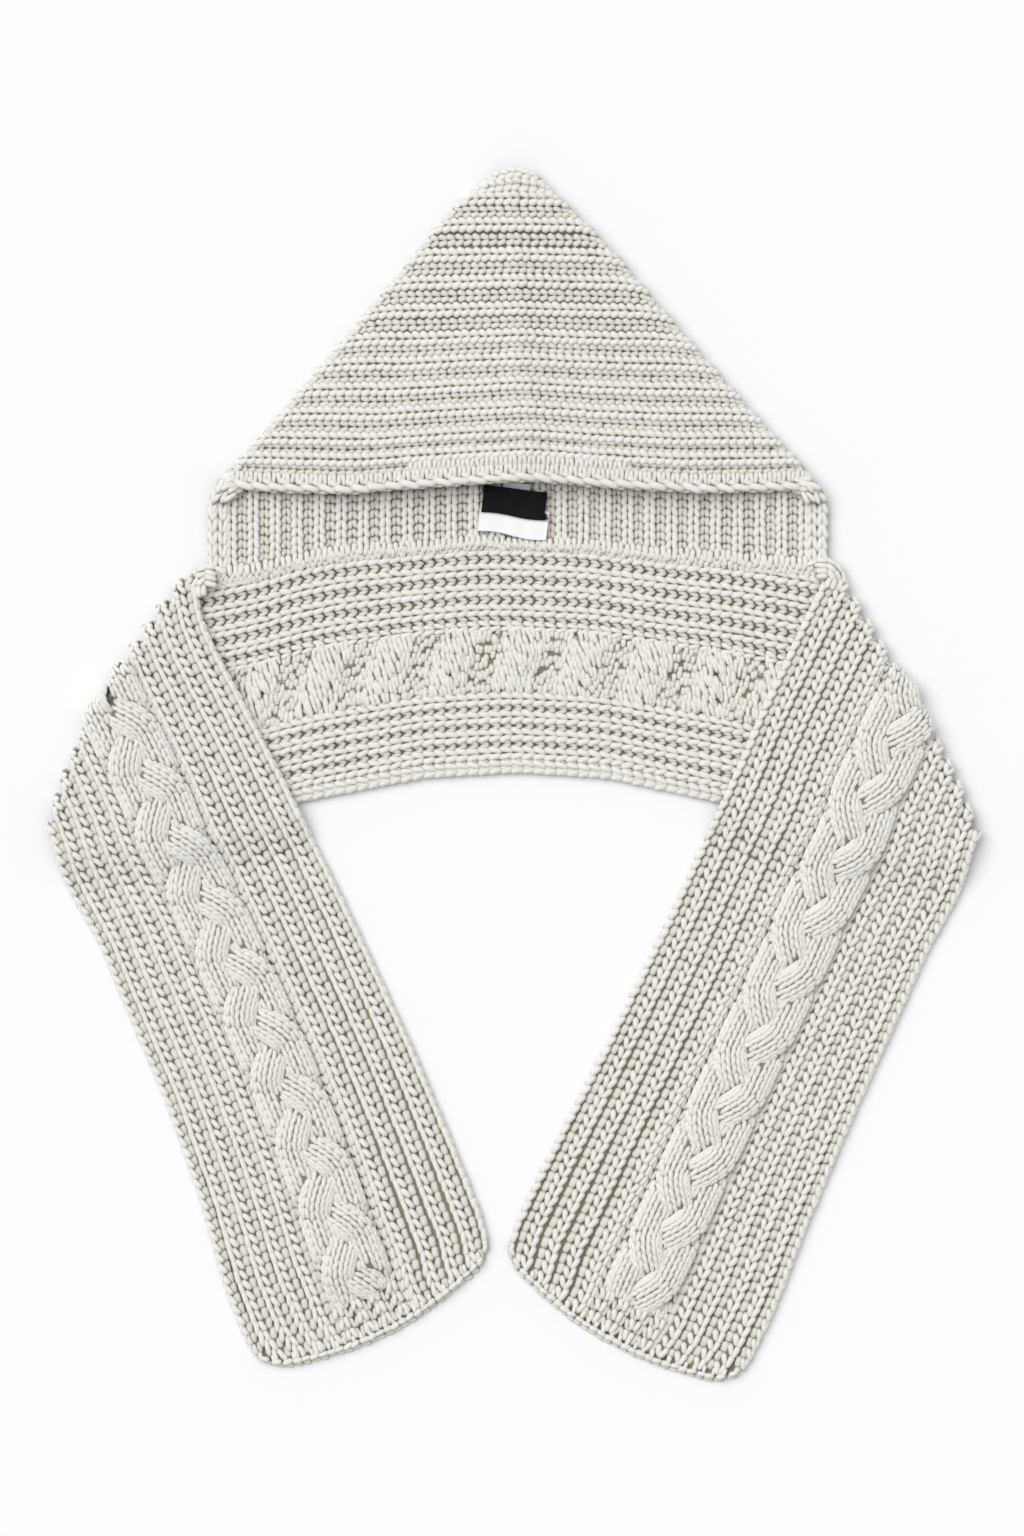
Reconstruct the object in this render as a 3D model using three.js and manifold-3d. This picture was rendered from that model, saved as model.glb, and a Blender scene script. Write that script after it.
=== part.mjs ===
import * as THREE from 'three';
import Module from 'manifold-3d';

const wasm = await Module();
wasm.setup();

// A hooded scarf in thick ribbed wool, laid flat on its back: millimetres, +Z up, hood tip towards +Y.

// Cloth
const clothThickness = 8.5;
const ribDepth = 2.2;
const layerGap = 0.5;
const partGap = 0.3;
const facetTolerance = 0.3;
const ribShoulder = 0.28;
const rimWidth = 2.5;

// Hood
const hoodWidth = 560;
const hoodDepth = 288;
const liningDepth = 59;
const mouthRise = 11;
const hoodLoft = 18;
const hoodRibRepeat = 21.7;
const liningRibRepeat = 19.8;
const liningReach = 30;
const tipLean = 5;
const tipSolid = 26;
const beadWidth = 12;

// Seam between hood and scarf
const seamWidth = 17;
const seamEndWidth = 23;
const seamBow = 24;
const seamHeight = 11;
const seamEndGap = 3;

// Scarf
const scarfWidth = 221;
const neckSpan = 568;
const neckShift = -1.3;
const seamTuck = 22;
const foldLead = 166;
const leftFoldBulge = 12;
const rightFoldBulge = 7;
const neckLift = 8;
const leftArmLength = 668;
const rightArmLength = 684;
const leftArmSlant = 23.5;
const rightArmSlant = 25.8;
const endSkew = 13;
const endBulge = 21;
const armFall = 42;
const neckRibs = 4.5;
const outerRibs = 4.5;

// Plait on each arm, and the humps that its cable makes on the wrong side
const plaitMiddle = 0.52;
const plaitWidth = 64;
const plaitRise = 4;
const plaitRepeat = 61.3;
const plaitStart = 6;
const plaitEnd = 26;
const leftPlaitMark = 156;
const rightPlaitMark = 100;
const strandWidth = 31;
const strandThickness = 9;
const strandFoot = 3.8;
const strandSteps = 11;
const humpRepeat = 58.5;
const humpRise = 2.4;

// Labels sewn inside the neck: shift is sideways from the middle of the hood, reach is up from the seam.
const labelWidth = 56;
const labelHeight = 25;
const labelThickness = 1;
const labelShift = -3;
const labelReach = 22.8;
const labelTurn = -7.5;
const tabWidth = 63;
const tabHeight = 31;
const tabThickness = 0.7;
const tabShift = -4.2;
const tabReach = 4.6;
const careWidth = 24;
const careHeight = 17;
const careThickness = 0.5;
const careShift = -1.5;
const careReach = 31.5;

const hoodHalf = hoodWidth / 2;
const sideHeight = 2 * clothThickness + 2 * layerGap;
const valleyThickness = clothThickness - ribDepth;
const foldRadius = clothThickness + layerGap / 2;

// Half width of the hood from its tip (fall 0) to the corner of its mouth (fall 1).
const hoodOutline = [
  { fall: 0, half: 0.03, lean: 0.2 },
  { fall: 0.02, half: 0.08, lean: 0.5 },
  { fall: 0.07, half: 0.135, lean: 1 },
  { fall: 0.13, half: 0.21, lean: 1 },
  { fall: 0.25, half: 0.325, lean: 0.5 },
  { fall: 0.94, half: 0.933, lean: 0 },
  { fall: 1, half: 0.976, lean: 0 },
];

// Height of the hood's upper layer over its sides: a soft ridge stands along the centre seam.
const loftProfile = [
  { across: -1, loft: 0 },
  { across: -0.85, loft: 0.2 },
  { across: -0.6, loft: 0.46 },
  { across: -0.3, loft: 0.7 },
  { across: -0.08, loft: 0.86 },
  { across: 0.02, loft: 1 },
  { across: 0.12, loft: 0.7 },
  { across: 0.3, loft: 0.6 },
  { across: 0.6, loft: 0.44 },
  { across: 0.85, loft: 0.2 },
  { across: 1, loft: 0 },
];

// Mouth edge of the upper layer: it lifts at the centre seam and sags on both sides of it.
const mouthLine = [
  { across: -1, rise: 0 },
  { across: -0.8, rise: -0.35 },
  { across: -0.57, rise: -0.55 },
  { across: -0.3, rise: 0.1 },
  { across: 0.04, rise: 1 },
  { across: 0.3, rise: 0.05 },
  { across: 0.6, rise: -0.45 },
  { across: 0.85, rise: -0.3 },
  { across: 1, rise: 0 },
];

// Inner and outer edges of the arms, from the fold (along 0) to the end (along 1), in scarf widths.
const leftArmEdges = [
  { along: 0, inner: 0, outer: 0.992 },
  { along: 0.08, inner: 0.015, outer: 1.018 },
  { along: 0.2, inner: 0.015, outer: 0.988 },
  { along: 0.3, inner: 0.015, outer: 0.992 },
  { along: 0.5, inner: -0.01, outer: 0.995 },
  { along: 0.7, inner: -0.025, outer: 1.03 },
  { along: 0.85, inner: -0.02, outer: 1.08 },
  { along: 0.96, inner: -0.01, outer: 1.085 },
  { along: 1, inner: 0.025, outer: 1.04 },
];
const rightArmEdges = [
  { along: 0, inner: 0, outer: 1.008 },
  { along: 0.08, inner: 0.018, outer: 1.045 },
  { along: 0.2, inner: 0.012, outer: 1.03 },
  { along: 0.3, inner: 0.01, outer: 1.038 },
  { along: 0.5, inner: 0.01, outer: 1.05 },
  { along: 0.7, inner: 0.004, outer: 1.074 },
  { along: 0.85, inner: -0.009, outer: 1.104 },
  { along: 0.96, inner: -0.012, outer: 1.104 },
  { along: 1, inner: 0.024, outer: 1.065 },
];

// Lower edge of the back band, from the centre (across 0) to the fold (across 1).
const bandEdge = [
  { across: 0, drop: 0 },
  { across: 0.2, drop: 0.08 },
  { across: 0.44, drop: 0.4 },
  { across: 0.7, drop: 0.84 },
  { across: 1, drop: 1 },
];

const toRadians = THREE.MathUtils.degToRad;
const lerp = THREE.MathUtils.lerp;

// Value of one column of a table, between the two rows that the place lies between.
function lookUp(table, placeColumn, valueColumn, place) {
  const last = table.length - 1;
  if (place <= table[0][placeColumn]) return table[0][valueColumn];
  if (place >= table[last][placeColumn]) return table[last][valueColumn];
  const next = table.findIndex((row) => row[placeColumn] > place);
  const low = table[next - 1];
  const high = table[next];
  const share = (place - low[placeColumn]) / (high[placeColumn] - low[placeColumn]);
  return lerp(low[valueColumn], high[valueColumn], share);
}

// Closed solid between an upper and an under grid of points of the same size.
// Rows run along the piece from its first end, and each row's points run across it.
function sheetSolid(upper, under) {
  const rows = upper.length;
  const columns = upper[0].length;
  const points = [...upper.flat(), ...under.flat()];
  const underStart = rows * columns;
  const up = (row, column) => row * columns + column;
  const low = (row, column) => underStart + up(row, column);
  const faces = [];
  const quad = (a, b, c, d) => faces.push([a, b, c], [a, c, d]);
  for (let row = 0; row < rows - 1; row += 1) {
    for (let column = 0; column < columns - 1; column += 1) {
      quad(up(row, column), up(row, column + 1), up(row + 1, column + 1), up(row + 1, column));
      quad(low(row, column), low(row + 1, column), low(row + 1, column + 1), low(row, column + 1));
    }
    quad(up(row, 0), up(row + 1, 0), low(row + 1, 0), low(row, 0));
    quad(low(row, columns - 1), low(row + 1, columns - 1), up(row + 1, columns - 1), up(row, columns - 1));
  }
  for (let column = 0; column < columns - 1; column += 1) {
    quad(low(0, column), low(0, column + 1), up(0, column + 1), up(0, column));
    quad(up(rows - 1, column), up(rows - 1, column + 1), low(rows - 1, column + 1), low(rows - 1, column));
  }
  return solidFrom(points, faces);
}

// Closed tube of rings with the same number of points, each end closed on its own middle.
function ringSolid(rings) {
  const sides = rings[0].length;
  const points = rings.flat();
  const faces = [];
  for (let ring = 0; ring < rings.length - 1; ring += 1) {
    for (let side = 0; side < sides; side += 1) {
      const next = (side + 1) % sides;
      const a = ring * sides + side;
      const b = ring * sides + next;
      faces.push([a, b, b + sides], [a, b + sides, a + sides]);
    }
  }
  const ends = [rings[0], rings[rings.length - 1]];
  ends.forEach((ring, end) => {
    const middle = new THREE.Vector3();
    ring.forEach((point) => middle.addScaledVector(point, 1 / sides));
    points.push(middle);
    const hub = points.length - 1;
    const start = end * (rings.length - 1) * sides;
    for (let side = 0; side < sides; side += 1) {
      const a = start + side;
      const b = start + ((side + 1) % sides);
      faces.push(end ? [a, b, hub] : [b, a, hub]);
    }
  });
  return solidFrom(points, faces);
}

// Solid of a list of points and triangles, turned so that its faces point outwards.
function solidFrom(points, faces) {
  const build = (triangles) => new wasm.Manifold(new wasm.Mesh({
    numProp: 3,
    vertProperties: new Float32Array(points.flatMap((point) => point.toArray())),
    triVerts: new Uint32Array(triangles.flat()),
  }));
  const solid = build(faces);
  if (solid.volume() > 0) return solid;
  return build(faces.map(([a, b, c]) => [a, c, b]));
}

// Outer skin of a joined solid, with any pocket shut in between its pieces filled.
function filled(solid) {
  const skins = solid.decompose();
  return skins.reduce((best, skin) => (skin.volume() > best.volume() ? skin : best));
}

// Named mesh of a solid.
function meshOf(name, solid, material) {
  const { vertProperties, triVerts } = solid.getMesh();
  const geometry = new THREE.BufferGeometry();
  geometry.setAttribute('position', new THREE.BufferAttribute(new Float32Array(vertProperties), 3));
  geometry.setIndex(new THREE.BufferAttribute(new Uint32Array(triVerts), 1));
  geometry.computeVertexNormals();
  const mesh = new THREE.Mesh(geometry, material);
  mesh.name = name;
  return mesh;
}

// Rings of a flattened tube along a path that lies nearly level.
// Each path point has its place, and the tube's half width, its height over the place and its depth below.
function levelTube(path, sides) {
  return path.map((step, index) => {
    const before = path[Math.max(index - 1, 0)].place;
    const after = path[Math.min(index + 1, path.length - 1)].place;
    const heading = new THREE.Vector3().subVectors(after, before).setZ(0).normalize();
    const sideways = new THREE.Vector3(-heading.y, heading.x, 0);
    return Array.from({ length: sides }, (unused, side) => {
      const turn = (2 * Math.PI * side) / sides;
      const point = step.place.clone().addScaledVector(sideways, Math.cos(turn) * step.halfWidth);
      point.z += Math.sin(turn) * (side * 2 > sides ? step.depth : step.height);
      return point;
    });
  });
}

// Seam welt: its middle line bows down towards both ends, and it is widest there.
const seamShare = (x) => Math.min(Math.abs(x) / hoodHalf, 1.02);
const seamMiddle = (x) => -seamBow * seamShare(x) ** 2;
const seamHalf = (x) => lerp(seamWidth, seamEndWidth, seamShare(x) ** 2) / 2;
const seamUpper = (x) => seamMiddle(x) + seamHalf(x);
const seamLower = (x) => seamMiddle(x) - seamHalf(x);

// Hood: height of the mouth corners, and of the mouth edge across the hood.
const mouthCorner = seamUpper(hoodHalf) + liningDepth;
const mouthEdge = (across) => mouthCorner + mouthRise * lookUp(mouthLine, 'across', 'rise', across);

function hoodPlace(across, fall) {
  const half = hoodHalf * lookUp(hoodOutline, 'fall', 'half', fall);
  const lean = -tipLean * lookUp(hoodOutline, 'fall', 'lean', fall);
  const level = mouthCorner + hoodDepth * (1 - fall);
  const bend = (mouthEdge(across) - mouthCorner) * fall ** 2;
  return { x: lean + half * across, y: level + bend };
}

function hoodTop(across, fall) {
  const growth = Math.min(1, 0.15 + fall / 0.7);
  return sideHeight + hoodLoft * growth * lookUp(loftProfile, 'across', 'loft', across);
}

// Shares across the hood, which is half wide: two narrow steps round off each side.
function hoodColumns(half) {
  const round = Math.min(sideHeight / 2, half * 0.7) / half;
  const inside = loftProfile.slice(1, -1).map((row) => row.across * (1 - round));
  const left = [-1, -1 + round * 0.3, -1 + round];
  const right = [1 - round, 1 - round * 0.3, 1];
  return { shares: [...left, ...inside, ...right], round };
}

// Thickness share of a rounded side at a share across.
function sideRound(across, round) {
  const past = (Math.abs(across) - (1 - round)) / round;
  if (past <= 0) return 1;
  return Math.max(Math.sqrt(Math.max(1 - past * past, 0)), 0.3);
}

function hoodShell() {
  const ribs = Math.round(hoodDepth / hoodRibRepeat);
  const steps = [0, ribShoulder, 1 - ribShoulder];
  const falls = [];
  for (let rib = 0; rib < ribs; rib += 1) {
    steps.forEach((step, index) => falls.push({ fall: (rib + step) / ribs, valley: index === 0 }));
  }
  falls.push({ fall: 1, valley: false });
  const upper = [];
  const under = [];
  falls.forEach(({ fall, valley }) => {
    const half = hoodHalf * lookUp(hoodOutline, 'fall', 'half', fall);
    const sunk = valley && fall > 0 ? ribDepth : 0;
    const { shares, round } = hoodColumns(half);
    const narrow = (half - sunk * 0.7) / half;
    const middle = sideHeight / 2;
    upper.push(shares.map((across) => {
      const place = hoodPlace(across * narrow, fall);
      const top = hoodTop(across, fall) - sunk;
      const height = middle + (top - middle) * sideRound(across, round);
      return new THREE.Vector3(place.x, place.y, height);
    }));
    under.push(shares.map((across) => {
      const place = hoodPlace(across * narrow, fall);
      return new THREE.Vector3(place.x, place.y, middle - middle * sideRound(across, round));
    }));
  });
  return sheetSolid(upper, under);
}

// Hollow of the hood, open at the mouth: it pinches out towards both sides and below the tip.
function hoodHollow() {
  const start = tipSolid / hoodDepth;
  const falls = [start, 0.16, 0.25, 0.4, 0.55, 0.7, 0.85, 1, 1.04];
  const shares = [-1, -0.93, -0.8, -0.6, -0.3, -0.08, 0.02, 0.12, 0.3, 0.6, 0.8, 0.93, 1];
  const middle = sideHeight / 2;
  const upper = [];
  const under = [];
  falls.forEach((fall) => {
    const held = Math.min(fall, 1);
    const half = hoodHalf * lookUp(hoodOutline, 'fall', 'half', held);
    const narrow = (half - clothThickness) / half;
    const open = Math.min((fall - start) / 0.1 + 0.15, 1);
    const at = (across, height) => {
      const place = hoodPlace(across * narrow, held);
      return new THREE.Vector3(place.x, place.y - (fall - held) * hoodDepth, height);
    };
    const spread = (across) => open * Math.min(0.06 + (1 - Math.abs(across)) / 0.2, 1);
    upper.push(shares.map((across) => {
      const roof = hoodTop(across * narrow, held) - clothThickness;
      return at(across, lerp(middle, Math.max(roof, middle + layerGap), spread(across)));
    }));
    under.push(shares.map((across) => at(across, lerp(middle, valleyThickness, spread(across)))));
  });
  return sheetSolid(upper, under);
}

// Back layer inside the mouth and down to the seam, with its ribs running up into the hood.
function hoodLining() {
  const inset = beadWidth * 0.4;
  const reach = hoodHalf - inset;
  const ribs = Math.round((2 * reach) / liningRibRepeat);
  const columns = [];
  for (let rib = 0; rib < ribs; rib += 1) {
    columns.push({ share: rib / ribs, valley: true });
    columns.push({ share: (rib + ribShoulder) / ribs, valley: false });
    columns.push({ share: (rib + 1 - ribShoulder) / ribs, valley: false });
  }
  columns.push({ share: 1, valley: true });
  const narrowing = [1, 1, 0.976, 0.9];
  const upper = [];
  const under = [];
  narrowing.forEach((narrow, row) => {
    const place = (share) => {
      const x = lerp(-reach, reach, share);
      const low = seamUpper(x) + partGap;
      const high = mouthEdge(x / hoodHalf);
      const levels = [low, lerp(low, high, 0.65), high, high + liningReach];
      return { x: x * narrow, y: levels[row] };
    };
    upper.push(columns.map(({ share, valley }) => {
      const { x, y } = place(share);
      return new THREE.Vector3(x, y, valley ? valleyThickness : clothThickness);
    }));
    under.push(columns.map(({ share }) => {
      const { x, y } = place(share);
      return new THREE.Vector3(x, y, 0);
    }));
  });
  return sheetSolid(upper, under);
}

// Cast-off edge of the face opening: up one side of the lining, along the mouth and down the other side.
function hoodBead() {
  const half = beadWidth / 2;
  const corner = hoodOutline[hoodOutline.length - 1].half;
  const side = (sign) => {
    const x = sign * (hoodHalf - half);
    const foot = seamUpper(x) + partGap + half * 0.2;
    return [
      new THREE.Vector3(x, foot, half * 0.9),
      new THREE.Vector3(x, lerp(foot, mouthCorner, 0.35), half),
      new THREE.Vector3(x + sign * 0.1, lerp(foot, mouthCorner, 0.7), half * 1.25),
      new THREE.Vector3(sign * (corner * hoodHalf - half * 0.55), mouthCorner - half * 0.2, half * 2),
    ];
  };
  const along = [];
  for (let across = -0.95; across < 0.96; across += 0.095) {
    const { x, y } = hoodPlace(across, 1);
    along.push(new THREE.Vector3(x, y, hoodTop(across, 1) - clothThickness / 2));
  }
  const places = [...side(-1), ...along, ...side(1).reverse()];
  const path = places.map((place) => ({ place, halfWidth: half, height: half * 0.9, depth: half * 0.9 }));
  return ringSolid(levelTube(path, 7));
}

function hoodSolid() {
  const body = hoodShell().subtract(hoodHollow()).add(hoodLining()).add(hoodBead());
  return filled(body).simplify(facetTolerance);
}

// Seam welt where the hood is joined to the scarf.
function seamSolid() {
  const end = hoodHalf - seamEndGap;
  const count = 22;
  const crossing = [
    { place: -1, height: 0.55 },
    { place: -0.65, height: 0.9 },
    { place: 0, height: 1 },
    { place: 0.65, height: 0.9 },
    { place: 1, height: 0.55 },
  ];
  const upper = [];
  const under = [];
  for (let step = 0; step <= count; step += 1) {
    const x = lerp(-end, end, step / count);
    const at = (row, height) => new THREE.Vector3(x, seamMiddle(x) + row.place * seamHalf(x), height);
    upper.push(crossing.map((row) => at(row, seamHeight * row.height)));
    under.push(crossing.map((row) => at(row, 0)));
  }
  return sheetSolid(upper, under);
}

// One arm's frame: its corner at the neck, and the directions down the arm, towards its outer edge
// and straight out over its fold.
function armFrame(side, length, slant, edges, bulge, mark) {
  const turn = toRadians(slant);
  const x = neckShift + (side * neckSpan) / 2;
  const corner = new THREE.Vector2(x, seamLower(x) + neckLift - partGap);
  const down = new THREE.Vector2(-side * Math.sin(turn), -Math.cos(turn));
  const outwards = new THREE.Vector2(side * Math.cos(turn), -Math.sin(turn));
  const run = down.clone().multiplyScalar(foldLead).addScaledVector(outwards, scarfWidth * edges[0].outer);
  const fold = new THREE.Vector2(-run.y, run.x).normalize().multiplyScalar(side);
  return { side, length, edges, bulge, mark, corner, down, outwards, fold };
}

function armPlace(arm, lengthwise, sideways) {
  return arm.corner.clone().addScaledVector(arm.down, lengthwise).addScaledVector(arm.outwards, sideways);
}

// Inner and outer edge points of an arm at a share of its length.
function armEdge(arm, along) {
  const inner = scarfWidth * lookUp(arm.edges, 'along', 'inner', along);
  const outer = scarfWidth * lookUp(arm.edges, 'along', 'outer', along);
  return {
    inner: armPlace(arm, arm.length * along, inner),
    outer: armPlace(arm, lerp(foldLead, arm.length + endSkew, along), outer),
  };
}

const arms = {
  left: armFrame(-1, leftArmLength, leftArmSlant, leftArmEdges, leftFoldBulge, leftPlaitMark),
  right: armFrame(1, rightArmLength, rightArmSlant, rightArmEdges, rightFoldBulge, rightPlaitMark),
};

// Lower edge of the band at a place across: it runs down to the fold's outer corner.
function bandLower(x) {
  const corner = armEdge(x < 0 ? arms.left : arms.right, 0).outer;
  const share = Math.min(Math.abs(x / corner.x), 1);
  const start = seamLower(0) + seamTuck - scarfWidth;
  return lerp(start, corner.y, lookUp(bandEdge, 'across', 'drop', share));
}

// Height of the underside of an arm: it lies on the band, then comes down to the floor.
function armUnderside(place) {
  const past = bandLower(place.x) - place.y - clothThickness;
  const fall = THREE.MathUtils.smoothstep(past, 0, armFall);
  return (clothThickness + layerGap) * (1 - fall);
}

// Bow of a fold line across the scarf: it stands out most towards its outer corner.
const foldBow = (share) => 6.75 * share ** 2 * (1 - share);

// Columns across the scarf from the neck edge (share 0) to the outer edge (share 1).
// Rib tops stand at full thickness, and valleys and the cable panel lie deeper.
const panelStart = plaitMiddle - plaitWidth / scarfWidth / 2;
const panelEnd = plaitMiddle + plaitWidth / scarfWidth / 2;

function scarfColumns() {
  const rim = rimWidth / scarfWidth;
  const columns = [{ share: 0, relief: 0.35, rim: 1 }];
  const ribs = (start, end, count, first) => {
    const steps = Math.round(count * 2);
    for (let step = 0; step <= steps; step += 1) {
      const top = (step % 2 === 0) === first;
      const middle = lerp(start, end, step / steps);
      const half = (Math.abs(end - start) / steps) * ribShoulder;
      if (!top) columns.push({ share: middle, relief: 1 });
      if (top && step > 0) columns.push({ share: middle - half, relief: 0 });
      if (top && step < steps) columns.push({ share: middle + half, relief: 0 });
    }
  };
  columns.push({ share: rim, relief: 0 });
  ribs(0, panelStart, neckRibs, true);
  columns.push({ share: plaitMiddle, relief: 1 });
  ribs(panelEnd, 1, outerRibs, false);
  columns.push({ share: 1 - rim, relief: 0 });
  columns.push({ share: 1, relief: 0.35, rim: 1 });
  return columns;
}

// Sections of the scarf from the end of the left arm over both folds to the end of the right arm.
function scarfSolid() {
  const columns = scarfColumns();
  const upper = [];
  const under = [];
  const high = (column) => (column.rim ? 0.75 * clothThickness : clothThickness - ribDepth * column.relief);
  const low = (column) => (column.rim ? 0.25 * clothThickness : 0);
  const armShares = [0, 0.05, 0.1, 0.15, 0.2, 0.27, 0.36, 0.48, 0.6, 0.72, 0.84, 0.94, 0.985, 1];
  const addArm = (arm, shares) => shares.forEach((along) => {
    const { inner, outer } = armEdge(arm, along);
    const thin = along === 1 ? 0.6 : 1;
    const places = columns.map((column) => {
      const bow = 1 - (2 * column.share - 1) ** 2;
      const place = inner.clone().lerp(outer, column.share);
      return place.addScaledVector(arm.down, endBulge * bow * along ** 6)
        .addScaledVector(arm.fold, arm.bulge * foldBow(column.share) * (1 - along) ** 6);
    });
    upper.push(columns.map((column, index) => {
      const { x, y } = places[index];
      return new THREE.Vector3(x, y, armUnderside(places[index]) + high(column) * thin);
    }));
    under.push(columns.map((column, index) => {
      const { x, y } = places[index];
      return new THREE.Vector3(x, y, armUnderside(places[index]) + low(column));
    }));
  });
  const addFold = (arm, turns) => turns.forEach((degrees) => {
    const { inner, outer } = armEdge(arm, 0);
    const turn = toRadians(degrees);
    const at = (column, radius) => {
      const place = inner.clone().lerp(outer, column.share);
      place.addScaledVector(arm.fold, arm.bulge * foldBow(column.share) + radius * Math.sin(turn));
      return new THREE.Vector3(place.x, place.y, foldRadius + radius * Math.cos(turn));
    };
    upper.push(columns.map((column) => at(column, layerGap / 2 + high(column))));
    under.push(columns.map((column) => at(column, layerGap / 2 + low(column))));
  });
  const addBand = (shares) => shares.forEach((across) => {
    const arm = across < 0 ? arms.left : arms.right;
    const fold = armEdge(arm, 0);
    const far = Math.abs(across);
    const neckX = lerp(neckShift, fold.inner.x, far);
    const outerX = lerp(neckShift, fold.outer.x, far);
    const tuck = seamTuck * (1 - far ** 4);
    const neck = new THREE.Vector2(neckX, seamLower(neckX) - partGap + tuck);
    const outer = new THREE.Vector2(outerX, bandLower(outerX));
    const level = far > 0.99 ? 0 : 1;
    const at = (column, height) => {
      const place = neck.clone().lerp(outer, column.share);
      const limit = seamLower(place.x) - partGap - column.share * partGap * 8;
      place.addScaledVector(arm.fold, arm.bulge * foldBow(column.share) * far ** 6);
      return new THREE.Vector3(place.x, far < 1 ? Math.min(place.y, limit) : place.y, height);
    };
    upper.push(columns.map((column) => at(column, low(column))));
    under.push(columns.map((column) => {
      const top = column.rim ? high(column) : clothThickness - ribDepth * column.relief * level;
      return at(column, top);
    }));
  });
  addArm(arms.left, [...armShares].reverse());
  addFold(arms.left, [45, 90, 135]);
  const middleShares = Array.from({ length: 15 }, (unused, step) => -0.84 + 0.12 * step);
  addBand([-1, -0.97, -0.92, ...middleShares, 0.92, 0.97, 1]);
  addFold(arms.right, [135, 90, 45]);
  addArm(arms.right, armShares);
  let solid = sheetSolid(upper, under);
  plaitStrands(arms.left).forEach((strand) => {
    solid = solid.add(strand);
  });
  plaitStrands(arms.right).forEach((strand) => {
    solid = solid.add(strand);
  });
  cableHumps().forEach((hump) => {
    solid = solid.add(hump);
  });
  return filled(solid).simplify(facetTolerance);
}

// Middle line of the plait panel at a length down the arm.
function panelMiddle(arm, lengthwise) {
  const innerAt = lengthwise / arm.length;
  const outerAt = (lengthwise - foldLead) / (arm.length + endSkew - foldLead);
  const inner = scarfWidth * lookUp(arm.edges, 'along', 'inner', innerAt);
  const outer = scarfWidth * lookUp(arm.edges, 'along', 'outer', outerAt);
  return lerp(inner, outer, plaitMiddle);
}

// Three strands that cross in turn: one lies over its neighbour while it moves inwards along the scarf.
function plaitStrands(arm) {
  const period = 3 * plaitRepeat;
  const first = foldLead * panelStart;
  const last = arm.length + endSkew * plaitMiddle - plaitEnd;
  const steps = Math.round((last - first) / (period / strandSteps));
  const swing = (plaitWidth - strandWidth) / 2;
  const half = strandThickness / 2;
  return [0, 1, 2].map((strand) => {
    const path = [];
    for (let step = 0; step <= steps; step += 1) {
      const lengthwise = lerp(first, last, step / steps);
      const travelled = arm.side * (lengthwise - arm.mark);
      const phase = (2 * Math.PI * travelled) / period + (2 * Math.PI * strand) / 3 + 2;
      const eased = phase - 0.45 * Math.sin(phase) ** 2;
      const sideways = panelMiddle(arm, lengthwise) + arm.side * swing * Math.sin(eased);
      if (lengthwise < (foldLead * sideways) / scarfWidth + plaitStart) continue;
      const place = armPlace(arm, lengthwise, sideways);
      const over = -Math.sin(2 * eased);
      const ends = step === steps || path.length === 0 ? 0.75 : 1;
      const height = armUnderside(place) + valleyThickness + plaitRise * (0.5 + 0.5 * over);
      path.push({
        place: new THREE.Vector3(place.x, place.y, height),
        halfWidth: (strandWidth / 2) * ends,
        height: half * ends,
        depth: height - armUnderside(place) - strandFoot,
      });
    }
    return ringSolid(levelTube(path, 8));
  });
}

// Humps of the cable on the wrong side, in the recessed panel of the band.
function cableHumps() {
  const reach = neckSpan * 0.42;
  const count = Math.floor(reach / humpRepeat);
  const humps = [];
  for (let index = -count; index <= count; index += 1) {
    const x = neckShift + index * humpRepeat;
    const top = seamLower(x);
    const bottom = bandLower(x);
    const path = [0, 0.2, 0.5, 0.8, 1].map((share) => {
      const swell = 0.35 + 0.65 * Math.sin(Math.PI * share);
      const across = lerp(panelStart + 0.03, panelEnd - 0.03, share);
      const place = new THREE.Vector3(x - 9 + 18 * share, lerp(top, bottom, across), valleyThickness);
      return { place, halfWidth: 12 * swell, height: humpRise * swell, depth: strandFoot };
    });
    humps.push(ringSolid(levelTube(path, 8)));
  }
  return humps;
}

// Flat label turned in its own plane, with its lower edge lifted by the given rise.
function labelMesh(name, width, height, thickness, place, rise, material) {
  const mesh = new THREE.Mesh(new THREE.BoxGeometry(width, height, thickness), material);
  mesh.name = name;
  mesh.rotation.order = 'ZXY';
  mesh.rotation.z = toRadians(labelTurn);
  mesh.rotation.x = -Math.asin(rise / height);
  mesh.position.copy(place);
  return mesh;
}

const wool = new THREE.MeshStandardMaterial({ color: 0xdcd8cd, roughness: 0.95, metalness: 0 });
const seamWool = new THREE.MeshStandardMaterial({ color: 0xd3cec1, roughness: 0.95, metalness: 0 });
const blackTape = new THREE.MeshStandardMaterial({ color: 0x15161a, roughness: 0.7, metalness: 0 });
const whiteTape = new THREE.MeshStandardMaterial({ color: 0xf4f4f2, roughness: 0.6, metalness: 0 });
const greyTape = new THREE.MeshStandardMaterial({ color: 0xd9dadb, roughness: 0.6, metalness: 0 });

const snood = new THREE.Group();
snood.add(meshOf('hood', hoodSolid(), wool));
snood.add(meshOf('scarf', scarfSolid(), wool));
snood.add(meshOf('neck_seam', seamSolid(), seamWool));

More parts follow.
